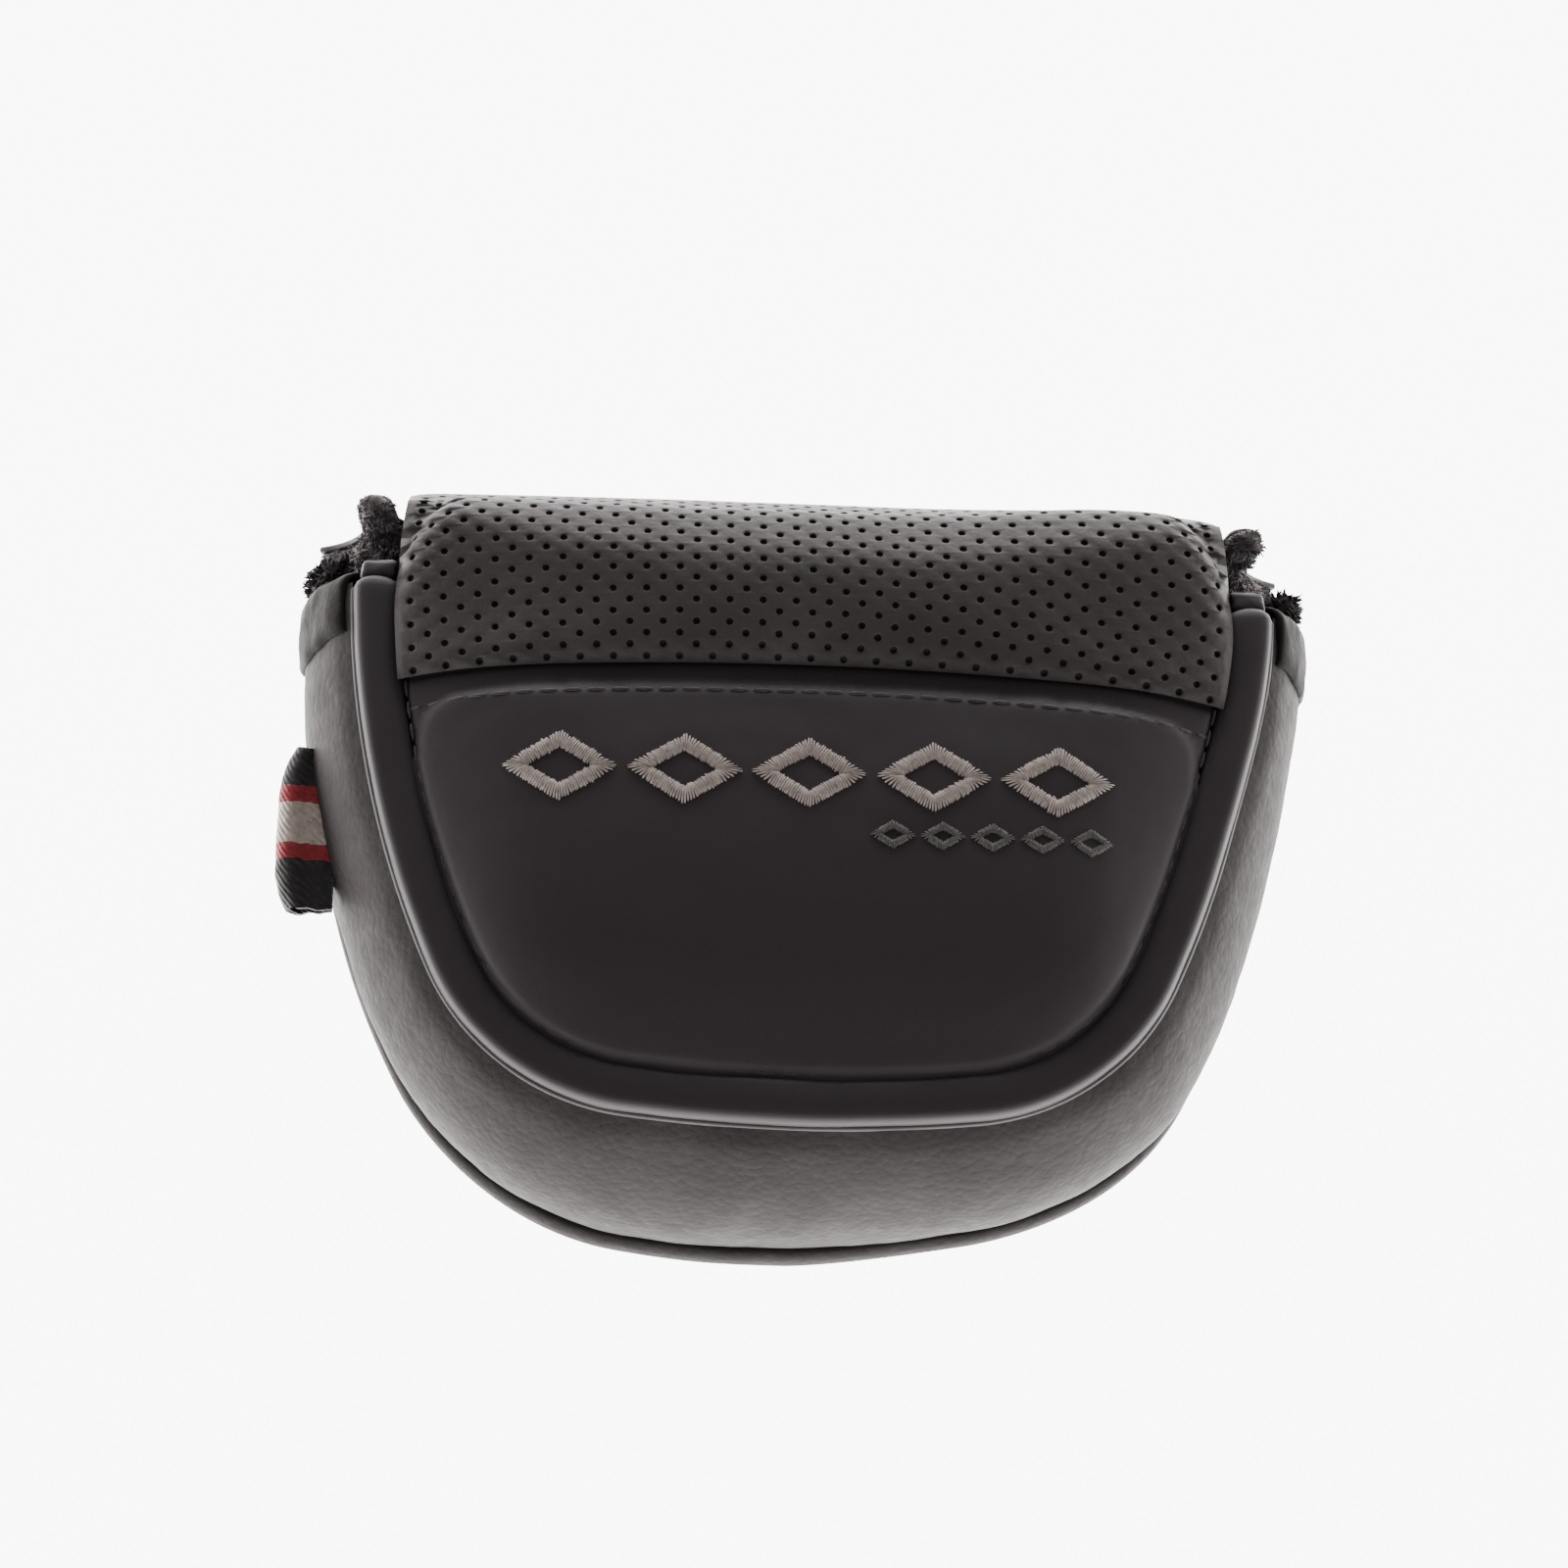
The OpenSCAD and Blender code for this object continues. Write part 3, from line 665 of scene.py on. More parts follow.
def board_material(name):
    """Grey-brown fibre board."""
    n = Nodes(name)
    shade = n.ramp(n.noise(300, 5, 0.7), [(0.3, (0.2, 0.17, 0.13)), (0.7, (0.32, 0.28, 0.22))])
    n.join(shade, n.shader.inputs["Base Color"])
    n.join(n.ramp(n.noise(700), [(0.3, 0.7), (0.7, 0.9)]), n.shader.inputs["Roughness"])
    return n.material


def magnet_material(name):
    """Bright nickel plate."""
    n = Nodes(name)
    shade = n.ramp(n.noise(120, 4), [(0.3, (0.5, 0.5, 0.51)), (0.7, (0.68, 0.67, 0.66))])
    n.join(shade, n.shader.inputs["Base Color"])
    n.join(n.ramp(n.noise(1500, 3), [(0.3, 0.18), (0.7, 0.34)]), n.shader.inputs["Roughness"])
    n.shader.inputs["Metallic"].default_value = 1.0
    return n.material


def hole_material(name, base):
    """The wall and floor of a punched hole: a darker copy of the leather, painted shade deep in the hole."""
    n = Nodes(name)
    shade = n.ramp(n.noise(900), [(0.3, tint(base, 0.5)), (0.7, tint(base, 0.8))])
    n.join(shade, n.shader.inputs["Base Color"])
    n.shader.inputs["Roughness"].default_value = 0.9
    n.shader.inputs["Specular IOR Level"].default_value = 0.1
    return n.material


def material(name):
    """The finished material of that name, made the first time it is asked for."""
    found = bpy.data.materials.get(name)
    if found:
        return found
    c = bpy.context.scene.cover_colours
    makers = {
        "leatherette": lambda: leather_material(name, tuple(c.leather)),
        # A darker copy of the black leatherette for the side band and the back welt: painted shade that holds
        # down the light their sides catch from the table.
        "side leatherette in painted shade": lambda: leather_material(name, tint(c.leather, 0.66), 1000, 0.45, 0.03),
        # A quarter as bright as the black leatherette: painted shade on the bindings, which lie in the fold's
        # shadow.
        "bound edge in painted shade": lambda: leather_material(name, tint(c.leather, 0.25), 1150, 0.3, 0.02),
        # A lighter copy of the black leatherette for the perforated sheet: painted light.
        "perforated leatherette painted lit": lambda: leather_material(name, tint(c.leather, 1.3), 1300, 0.3),
        # A darker copy of the black leatherette for the walls and floors of the holes: painted shade.
        "shaded hole wall": lambda: hole_material(name, tuple(c.leather)),
        "plush": lambda: fleece_material(name, tuple(c.fleece)),
        # A seven times lighter copy of the black plush: painted light for the lit ears of the shaft tab.
        "plush painted lit": lambda: fleece_material(name, tint(c.fleece, 7)),
        "pale thread": lambda: thread_material(name, tuple(c.pale_thread)),
        "grey thread": lambda: thread_material(name, tuple(c.grey_thread)),
        "black thread": lambda: thread_material(name, tuple(c.dark_thread)),
        "striped ribbon": lambda: ribbon_material(
            name, (tuple(c.ribbon_red), tuple(c.ribbon_white), tuple(c.ribbon_black)), TAG_LOW.y, TAG_HIGH.y),
        "board": lambda: board_material(name),
        "nickel": lambda: magnet_material(name),
    }
    return makers[name]()


# ---------- Pieces of the front ----------

def lean_right(obj):
    """The front stands a little further out at its right shoulder than at its left."""
    for v in obj.data.vertices:
        x, y, z = v.co / MM
        v.co.x += RIGHT_LEAN * smooth_step(0, 28, y) * smooth_step(5, 38, z) * smooth_step(10, 50, x) * MM


def finish_piece(obj, body, slot, materials, *nodes):
    """Gives a finished mesh its materials, its body and the nodes that it stands for."""
    lean_right(obj)
    paint(obj, *[material(m) for m in materials])
    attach(obj, body)
    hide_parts(*nodes)
    return obj


def rolled_rim(shape):
    """The padded rim band round the front, rolled over at its edge."""
    z = shape.seam_height
    section = [
        (-5.6, z - 0.80), (-5.25, z - 0.50), (-4.8, z - 0.22), (-4.2, z - 0.04), (-3.4, z + 0.10),
        (-2.5, z + 0.18), (-1.6, z + 0.18), (-0.9, z + 0.06), (-0.35, z - 0.2), (0.02, z - 0.8),
        (0.25, z - 1.6), (-0.3, z - 2.1), (-1.6, z - 1.9), (-3.6, z - 1.7), (-5.3, z - 1.5)]
    rim = sweep("front_rim_band", shape, section, shape.mouth_front - 1.5, round_end=1.5)
    ruffle(rim, 0.10, 9, 2)
    return smooth(rim, 80)


def rim_welt(shape):
    """The thin turned edge under the rim."""
    z = shape.seam_height
    bead = [(0.05 + 0.55 * math.cos(a), z - 1.9 + 0.5 * math.sin(a)) for a in np.radians(range(0, 360, 40))]
    welt = sweep("front_edge_welt", shape, bead, shape.mouth_front - 1.6, round_end=0.4)
    return smooth(welt, 80)


class COVER_OT_front_edge(bpy.types.Operator):
    """Rim band and welt round the front"""
    bl_idname = "cover.front_edge"
    bl_label = "Front edge"

    def execute(self, context):
        shape = Shape()
        finish_piece(rolled_rim(shape), "cover", "leatherette", ["leatherette"], "front_rim")
        finish_piece(rim_welt(shape), "cover", "leatherette", ["leatherette"], "front_welt")
        for side, name in ((1, "right"), (-1, "left")):
            cap = self.folded_cap(shape, side, f"rim_fold_{name}")
            finish_piece(cap, "cover", "leatherette", ["leatherette"], f"rim_end_{name}")
        return {"FINISHED"}

    def folded_cap(self, shape, side, name):
        """The folded leather over the end of the rim."""
        x = side * (shape.side_x(shape.mouth_front, 0) - 3.0)
        centre = Vector((x, shape.mouth_front + 1.0, shape.seam_height - 2.1))
        bpy.ops.object.select_all(action="DESELECT")
        bpy.ops.mesh.primitive_cube_add(size=1, location=centre * MM, scale=Vector((4.4, 2.9, 3.0)) * MM)
        cap = bpy.context.active_object
        cap.name = name
        bpy.ops.object.transform_apply(location=True, scale=True)
        bpy.ops.object.mode_set(mode="EDIT")
        bpy.ops.mesh.select_all(action="SELECT")
        bpy.ops.mesh.bevel(offset=0.0007, segments=2)
        bpy.ops.mesh.subdivide(number_cuts=2)
        bpy.ops.object.mode_set(mode="OBJECT")
        apply_modifier(cap, "SUBSURF", levels=1, render_levels=1)
        for v in cap.data.vertices:
            p = v.co / MM - centre
            fold = math.exp(-((p.z - 0.4) / 0.25) ** 2) * 0.25
            v.co.y -= fold * MM
            v.co.x -= side * 0.12 * p.y * MM
        ruffle(cap, 0.22, 2.4, 7 if side > 0 else 4)
        return smooth(cap, 60)


class COVER_OT_smooth_pad(bpy.types.Operator):
    """Smooth lower pad of the front with its groove"""
    bl_idname = "cover.smooth_pad"
    bl_label = "Smooth pad"

    def execute(self, context):
        shape = Shape()
        # The pad's sides lie inside the front seam, and its top edge runs under the perforated leather
        off = -4.9
        under = -1.2
        reach = shape.side_x(shape.seam_y - 3, off)
        for _ in range(6):
            reach = shape.side_x(shape.arch(reach, under), off)
        low = shape.run(off, shape.seam_height, shape.arch(reach, under), (40, 44, 26))
        seam = [reach * (1 - 2 * i / (len(low) - 1)) for i in range(len(low))]
        high = [(x, shape.arch(x, under)) for x in seam]
        pad = across("smooth_front_pad", low, high, shape.smooth_pad, 56, SKIN, flip=True)
        ruffle(pad, 0.10, 14, 5, (1, 1.6, 1))
        ruffle(pad, 0.03, 3.0, 8)
        smooth(pad, 70)
        finish_piece(pad, "cover", "leatherette", ["leatherette"], "front_panel", "front_foam")
        return {"FINISHED"}


# ---------- The perforated pad and flap ----------

class Folded:
    """The surface of the perforated leather, from the arched seam over the fold and down the flap."""

    # The fold's highest point above the front seam, and where its round stretch ends below it
    RISE, ROUND_END = 6.5, 3.6
    # The flap's hinge: its place along Y, and how far it lies below the front seam
    HINGE_Y, HINGE_DROP = 43.8, 4.8
    # Height at which the flap's curve turns straight, and where the flap ends
    FOOT_Z, FOOT_END = 9.0, 0.35
    # Half the pad's width, and the slanted cut at its back corners: how far back and how far in
    PAD_HALF, CUT_BACK, CUT_IN = 52.2, 14.9, 7.0
    # Depth and reach of the dip at the arched seam
    SEAM_DIP, SEAM_REACH = 0.95, 2.2
    CURVE_STEPS = 60

    def __init__(self, shape):
        self.s = shape
        self.z0 = shape.seam_height + self.RISE - shape.fold_radius
        self.r = shape.fold_radius
        self.start = math.acos((shape.seam_y - shape.fold_y) / self.r)
        self.end = math.asin((shape.seam_height - self.ROUND_END - self.z0) / self.r)
        self.pad_l = (self.start - self.end) * self.r
        self.hinge = np.array([self.HINGE_Y, shape.seam_height - self.HINGE_DROP])
        self.low = np.array([FLAP_HIGH.y / MM, self.FOOT_Z])
        self.ctrl = np.array([self.low[0] + 0.7, shape.seam_height - 14])
        curve = np.array([self.bezier(t) for t in np.linspace(0, 1, self.CURVE_STEPS)])
        legs = np.linalg.norm(np.diff(curve, axis=0), axis=1)
        self.far = np.concatenate([[0], np.cumsum(legs)])
        self.flap_l = self.far[-1] + self.low[1] - self.FOOT_END
        self.total = self.pad_l + self.flap_l

    def bezier(self, t):
        """The flap's curve from its hinge down to its straight foot."""
        return (1 - t) ** 2 * self.hinge + 2 * t * (1 - t) * self.ctrl + t * t * self.low

    def half_width(self, l):
        """Half the leather's width at a length along it."""
        a = self.start - max(l, 0) / self.r
        y = self.s.fold_y + self.r * math.cos(a) if l < self.pad_l else self.hinge[0]
        wide = self.s.side_x(min(y, self.s.mouth_front + 3), -5.5)
        return wide + (FLAP_HIGH.x / MM + 0.5 - wide) * smooth_step(0.55, 1.0, l / self.pad_l)

    def flap_point(self, l):
        """Y and Z of the flap's middle line at a length along the leather."""
        d = l - self.pad_l
        if d > self.far[-1]:
            return self.low[0], self.low[1] - (d - self.far[-1])
        p = self.bezier(np.interp(d, self.far, np.linspace(0, 1, self.CURVE_STEPS)))
        return p[0], p[1]

    def point(self, u, l):
        """A point of the surface: u from -1 to 1 across, l along from the seam."""
        x = u * self.half_width(l)
        return self.flap_surface(x, l) if l > self.pad_l else self.pad_surface(x, l)

    def flap_surface(self, x, l):
        y, z = self.flap_point(l)
        fullness = math.sin(math.pi * min((l - self.pad_l) / self.flap_l, 1))
        puff = 0.7 * pillow(self.half_width(l) - abs(x), 5) * fullness ** 0.8
        crown = 0.9 * (x / 51) ** 2 * fullness
        return np.array([x, y + puff - crown + self.swell(x, l), z])

    def pad_surface(self, x, l):
        s = self.s
        a = self.start - l / self.r
        y = s.fold_y + self.r * math.cos(a) + (s.arch(x) - s.seam_y) * max(0, 1 - l / 24)
        z_top = soft_min(self.z0 + self.r * math.sin(a), s.cross(x) + 0.35, 1.2) + 0.35
        lean = smooth_step(34, 44, y)
        floor = s.seam_height - 0.7 - 4.0 * (1 - math.sqrt(max(0, 1 - min(max((y - 34) / 9.9, 0), 1) ** 2)))
        edge_x = self.PAD_HALF - abs(x) - 0.8 * lean
        into = l - self.pad_l + self.CUT_BACK
        slant = (edge_x * self.CUT_BACK - into * self.CUT_IN) / math.hypot(self.CUT_BACK, self.CUT_IN)
        depth = soft_min(soft_min(edge_x, slant, 3.0), self.pad_l - 1.5 - l, 2.0) + 0.06
        puff = pillow(depth, 5.0)
        puff += (edge_rise(edge_x) - puff) * (1 - smooth_step(0, 12, l))
        z = floor + max(z_top - floor, 0) * puff - self.SEAM_DIP * (1 - pillow(l + 0.1, self.SEAM_REACH))
        out = 1.1 * puff * smooth_step(36, 43, y) + self.swell(x, l)
        bulge = 0.7 * puff * (abs(x) / 51) ** 4 * (1 if x > 0 else -1)
        lift = 0.25 * puff * smooth_step(24, 34, y)
        return np.array([x + bulge, y + out, z + lift + 0.3 * self.swell(x, l)])

    def swell(self, x, l):
        """The filling stands up a little more at the right-hand part of the fold."""
        return 1.5 * math.exp(-((x - 37) / 15) ** 2) * math.exp(-((l - self.pad_l + 2) / 11) ** 2)

    def normal(self, u, l):
        """The direction away from the leather's face."""
        step = 0.15
        across_step = step / 50
        du = self.point(min(u + across_step, 1.0), l) - self.point(max(u - across_step, -1.0), l)
        dl = self.point(u, min(l + step, self.total)) - self.point(u, max(l - step, 0))
        n = np.cross(du, dl)
        return n / max(np.linalg.norm(n), 1e-9)


class COVER_OT_perforated(bpy.types.Operator):
    """Perforated leather over the upper pad, the fold and the flap, each hole a real one"""
    bl_idname = "cover.perforated"
    bl_label = "Perforated pad and flap"

    # Each ring of a hole: its share of the hole's radius, and how deep it lies in millimetres
    RINGS = ((1.3, 0.01), (1.0, 0.06), (0.93, 0.18), (0.9, 0.42))
    SIDES = 10

    def execute(self, context):
        shape = Shape()
        fold = Folded(shape)
        rows = round(fold.total / shape.hole_row)
        mid_pad = 14
        columns = round(2 * fold.half_width(mid_pad) / shape.hole_pitch)
        lattice = self.lattice(fold, rows, columns * 4)
        normals = self.lattice_normals(lattice)
        front = lattice.reshape(-1, 3)
        verts = [front, (lattice - normals * SKIN).reshape(-1, 3)]
        faces, hole_faces = [], []
        for i in range(rows):
            self.punched_row(i, columns, front, normals, shape.hole_width / 2, verts, faces, hole_faces)
        self.plain_sides(rows, columns * 4, faces)
        skin = make_object("perforated_skin", np.concatenate(verts), faces + hole_faces)
        # The perforated sheet takes the lighter copy of the leather, painted light.
        paint(skin, material("perforated leatherette painted lit"), material("shaded hole wall"))
        # The hole walls and floors take slot 1, the darker copy of the leather, painted shade.
        index = [0] * len(faces) + [1] * len(hole_faces)
        skin.data.polygons.foreach_set("material_index", index)
        skin.data.polygons.foreach_set("use_smooth", [True] * len(index))
        lean_right(skin)
        z = shape.seam_height
        start, end = Vector((0, 41.5, z - 3.5)) * MM, Vector((0, 45.5, z - 7)) * MM
        tuple(start)
        tuple(end)
        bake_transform(skin)
        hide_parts("perforated_panel", "fold_foam", "flap_leather", "flap_foam")
        return {"FINISHED"}

    def lattice(self, fold, rows, quarters):
        """Points of the leather's face, four to each hole's pitch, with a slight wave."""
        lattice = np.empty((rows + 1, quarters + 1, 3))
        for i in range(rows + 1):
            for j in range(quarters + 1):
                u, l = -1 + 2 * j / quarters, i * (fold.total / rows)
                p = fold.point(u, l)
                wave = noise.noise(Vector((p[0] / 16, l / 3.2, 4.0))) * 0.045
                lattice[i, j] = p + fold.normal(u, l) * wave
        return lattice

    def punched_row(self, i, columns, front, normals, radius, verts, faces, hole_faces):
        """One row of holes, with the strips that fill it up at its ends; every other row is shifted."""
        wide = columns * 4 + 1
        shift = 2 if i % 2 else 0
        at = i * wide
        faces += [self.quad(at + j, wide) for j in range(shift)]
        for c in range(columns - (1 if shift else 0)):
            j = shift + c * 4
            outer = [at + j + k for k in range(5)] + [at + wide + j + 4 - k for k in range(5)]
            normal = normals[i, j + 2] + normals[i + 1, j + 2]
            rings = [outer]
            for ring in self.hole(front, outer, normal / np.linalg.norm(normal), radius):
                start = 2 * len(front) + (len(verts) - 2) * self.SIDES
                verts.append(ring)
                rings.append(list(range(start, start + self.SIDES)))
            for n, (a, b) in enumerate(zip(rings, rings[1:])):
                walls = hole_faces if n == len(self.RINGS) - 1 else faces
                for k in range(self.SIDES):
                    m = (k + 1) % self.SIDES
                    walls.append((a[k], a[m], b[m], b[k]))
            hole_faces.append(tuple(rings[-1]))
        faces += [self.quad(at + j, wide) for j in range(wide - 1 - shift, wide - 1)]

    def quad(self, k, wide):
        return (k, k + 1, k + wide + 1, k + wide)

    def hole(self, front, outer, normal, radius):
        """The rings of one hole, from its pressed lip down its wall."""
        middle = front[outer].mean(axis=0)
        right = front[outer[4]] - front[outer[0]]
        right -= normal * right.dot(normal)
        right /= np.linalg.norm(right)
        up = np.cross(normal, right)
        for share, sink in self.RINGS:
            ring = []
            for k in range(self.SIDES):
                a = math.radians(-162 + 36 * k)
                out = right * math.cos(a) + up * math.sin(a)
                ring.append(middle + out * (radius * share) - normal * sink)
            yield np.array(ring)

    def plain_sides(self, rows, quarters, faces):
        """The leather's inner face, and the edge all round it."""
        wide = quarters + 1
        size = (rows + 1) * wide
        for i in range(rows):
            faces += [tuple(size + k for k in self.quad(i * wide + j, wide))[::-1] for j in range(quarters)]
            for j, turn in ((0, False), (quarters, True)):
                side = (i * wide + j, (i + 1) * wide + j, size + (i + 1) * wide + j, size + i * wide + j)
                faces.append(side[::-1] if turn else side)
        for i, turn in ((0, True), (rows, False)):
            for j in range(quarters):
                a, b = i * wide + j, i * wide + j + 1
                side = (a, b, size + b, size + a)
                faces.append(side[::-1] if turn else side)

    def lattice_normals(self, lattice):
        du = np.gradient(lattice, axis=1)
        dl = np.gradient(lattice, axis=0)
        n = np.cross(du, dl)
        return n / np.linalg.norm(n, axis=2)[:, :, None]


# ---------- Side band ----------

class COVER_OT_side_band(bpy.types.Operator):
    """Padded side band, its end bindings and its lining"""
    bl_idname = "cover.side_band"
    bl_label = "Side band"

    def execute(self, context):
        shape = Shape()
        self.skin(shape)
        self.lining(shape)
        for side, name in ((1, "right"), (-1, "left")):
            self.binding(shape, side, name)
        return {"FINISHED"}

    def skin(self, shape):
        high, low = shape.seam_height - 1.7, shape.back_height + 0.3
        padding = 1.6
        heights = [high + (low - high) * i / 22 for i in range(23)]
        outer = [(shape.band_off(z) - 0.9 * (1 - pillow((high - z) / 3, 1))
                  - 0.7 * (1 - pillow((z - low) / 2, 1)), z) for z in heights]
        inner = [(off - padding, z) for off, z in outer[::-4]]
        band = sweep(
            "side_band_skin", shape, outer + inner, lambda z: shape.mouth(z) - 0.8, counts=(64, 48, 22))
        ruffle(band, 0.28, 13, 3, (1, 1, 0.5))
        ruffle(band, 0.05, 2.2, 6, (1, 1, 0.35))
        smooth(band, 70)
        # The side band takes the darker copy of the leather, painted shade.
        finish_piece(band, "cover", "leatherette", ["side leatherette in painted shade"], "gusset_outer", "gusset_foam")

    def lining(self, shape):
        heights = [30.6, 26, 21, 16, 12, 8.6]
        inner = [(shape.band_off(z) - 5.6, z) for z in heights]
        outer = [(shape.band_off(z) - 2.8, z) for z in heights[::-1]]
        lining = sweep("side_band_lining", shape, inner + outer,
                       lambda z: shape.mouth(z) + 3.6 * smooth_step(8, 16, z))
        for v in lining.data.vertices:
            p = v.co / MM
            past = smooth_step(0.4, 2.0, p.y - shape.mouth(p.z))
            v.co.x += math.copysign(2.4 * past, p.x) * MM
        ruffle(lining, 0.35, 3, 9)
        paint(lining, material("plush"))
        bare_to = 33.5
        tufts(lining, 12000, shape.pile * 0.8, 0.26, 11,
              keep=lambda p, n: self.facing_in(p, n) | (p[:, 1] > bare_to))
        finish_piece(lining, "cover", "fleece", ["plush"], "gusset_lining")

    def facing_in(self, points, normals):
        """Which faces look towards the middle of the cover."""
        toward = -points[:, :2] / np.maximum(np.linalg.norm(points[:, :2], axis=1), 1)[:, None]
        return (normals[:, :2] * toward).sum(axis=1) > 0.3

    def binding(self, shape, side, name):
        """The strip of leather folded over one end of the side band."""
        path = [(7.4, 0.10), (7.1, 0.55), (6.0, 0.75), (4.0, 0.75), (2.0, 0.7), (0.6, 0.55), (-0.3, 0.0),
                (-0.75, -1.0), (-0.85, -2.6), (-0.75, -4.2), (-0.3, -5.2), (0.6, -5.9), (3.0, -6.0)]
        verts = []
        high, low = shape.seam_height - 1.9, shape.back_height - 0.2
        steps = 30
        for i in range(steps + 1):
            z = high + (low - high) * i / steps
            for back, out in path:
                back *= 1 + 0.25 * math.sin(math.pi * i / steps) if back > 1 else 1
                y = shape.mouth(z) - back
                tuck = 0.6 * (1 - pillow(min(i, steps - i) / 4, 1)) * (1 if out > -2 else 0)
                x = shape.side_x(y + shape.slide(z), shape.band_off(z) + out - tuck)
                verts.append((side * x, y, z))
        obj = make_object(f"mouth_binding_{name}", verts, grid_faces(steps + 1, len(path)), flip=side > 0)
        apply_modifier(obj, "SOLIDIFY", thickness=0.7 * MM, offset=-1)
        apply_modifier(obj, "SUBSURF", levels=1, render_levels=1)
        ruffle(obj, 0.30, 4.5, 12 if side > 0 else 14)
        smooth(obj, 60)
        # The binding takes the darkened copy of the leather, painted shade where the fold shades it.
        finish_piece(obj, "cover", "leatherette", ["bound edge in painted shade"], f"gusset_binding_{name}")


# ---------- Back ----------

class COVER_OT_back(bpy.types.Operator):
    """Padded back, the land for the flap, and the back welt"""
    bl_idname = "cover.back"
    bl_label = "Back"

    # The padded back ends and the land begins here along Y; the land and the linings end here
    SPLIT, LAND_END, LINING_END = 10.0, 41.3, 41.0
    # Height of the land, and how far in the back's round edge reaches
    LAND_Z, EDGE_REACH = 3.65, 11.5
    # Half the width of the front lining where it runs into the fold, and where that narrow stretch begins
    ROOF_HALF, ROOF_NECK = 49.5, 29.0
    # Middle heights of the back's and the front's lining
    BACK_LINING_Z, FRONT_LINING_Z = 7.6, 32.9

    def execute(self, context):
        shape = Shape()
        edge = shape.flare + 0.9
        split = self.SPLIT
        slide = shape.end_slide

        def depth(x, y):
            return shape.inside(x, y + slide) + edge - shape.tuck(x, y + slide)

        def pillow_z(x, y):
            reach = soft_min(depth(x, y), split + 1.2 - y, 2.0) + 0.3
            return shape.back_height * (1 - pillow(reach, self.EDGE_REACH))

        def land_z(x, y):
            dish = shape.back_height * (1 - pillow(depth(x, y), self.EDGE_REACH))
            return max(dish, self.LAND_Z - 0.05 * math.cos(x / 3))

        low = shape.run(edge, 0, split, (40, 40, 24))
        n = len(low)
        wide = low[0][0]
        high = [(wide * (1 - 2 * i / (n - 1)), split) for i in range(n)]
        pad = across("back_pad", low, high, pillow_z, 48, SKIN)
        ruffle(pad, 0.35, 16, 21, where=lambda p: min(1, max(0, (p.z - 0.8) / 2)))
        smooth(pad, 70)
        finish_piece(pad, "cover", "leatherette", ["leatherette"], "back_panel", "back_foam")
        start = split - 0.4
        ys = [start + (self.LAND_END - start) * i / 30 for i in range(31)]
        right = [(shape.side_x(y + slide, edge), y) for y in ys]
        left = [(-x, y) for x, y in right]
        land = across("back_land_skin", right, left, land_z, 70, SKIN, flip=True)
        smooth(land, 70)
        finish_piece(land, "cover", "leatherette", ["leatherette"], "back_land")
        bead = [(edge - 0.2 + 1.35 * math.cos(a), shape.back_height - 0.6 + 2.4 * math.sin(a))
                for a in np.radians(range(0, 360, 36))]
        welt = sweep("back_edge_welt", shape, bead, shape.mouth_back - 0.6, round_end=0.6)
        smooth(welt, 80)
        # The back welt takes the darker copy of the leather, painted shade.
        finish_piece(welt, "cover", "leatherette", ["side leatherette in painted shade"], "back_welt")
        self.lining(shape, edge)
        return {"FINISHED"}

    def lining(self, shape, edge):
        """The fleece inside the back and inside the front."""
        end = self.LINING_END
        low = shape.run(edge - 4.2, 0, end, (44, 24, 14))
        n = len(low)
        high = [(low[0][0] * (1 - 2 * i / (n - 1)), end) for i in range(n)]
        pile = across("back_plush", low, high, lambda x, y: self.BACK_LINING_Z, 30, FLEECE, flip=True)
        self.piled(pile, shape, 31, 32, lambda p, n: (n[:, 2] > 0.4) & (p[:, 1] > -10))
        finish_piece(pile, "cover", "fleece", ["plush"], "back_lining")
        half = self.ROOF_HALF
        roof_low = shape.run(-1.9, shape.seam_height, end, (44, 24, 14))
        wide = roof_low[0][0]
        roof_low = [(x, min(y, end if abs(x) < half else self.ROOF_NECK)) for x, y in roof_low]
        roof_high = [(min(wide, half) * (1 - 2 * i / (n - 1)), end) for i in range(n)]
        roof = across(
            "front_plush", roof_low, roof_high, lambda x, y: self.FRONT_LINING_Z, 30, FLEECE, flip=True)
        self.piled(roof, shape, 33, 34, lambda p, n: (n[:, 2] < -0.4) & (p[:, 1] > -10))
        finish_piece(roof, "cover", "fleece", ["plush"], "front_lining")

    def piled(self, obj, shape, ruffle_seed, tuft_seed, keep):
        ruffle(obj, 0.3, 3, ruffle_seed)
        paint(obj, material("plush"))
        tufts(obj, 12000, shape.pile, 0.3, tuft_seed, keep=keep)


# ---------- Flap lining and tongue ----------

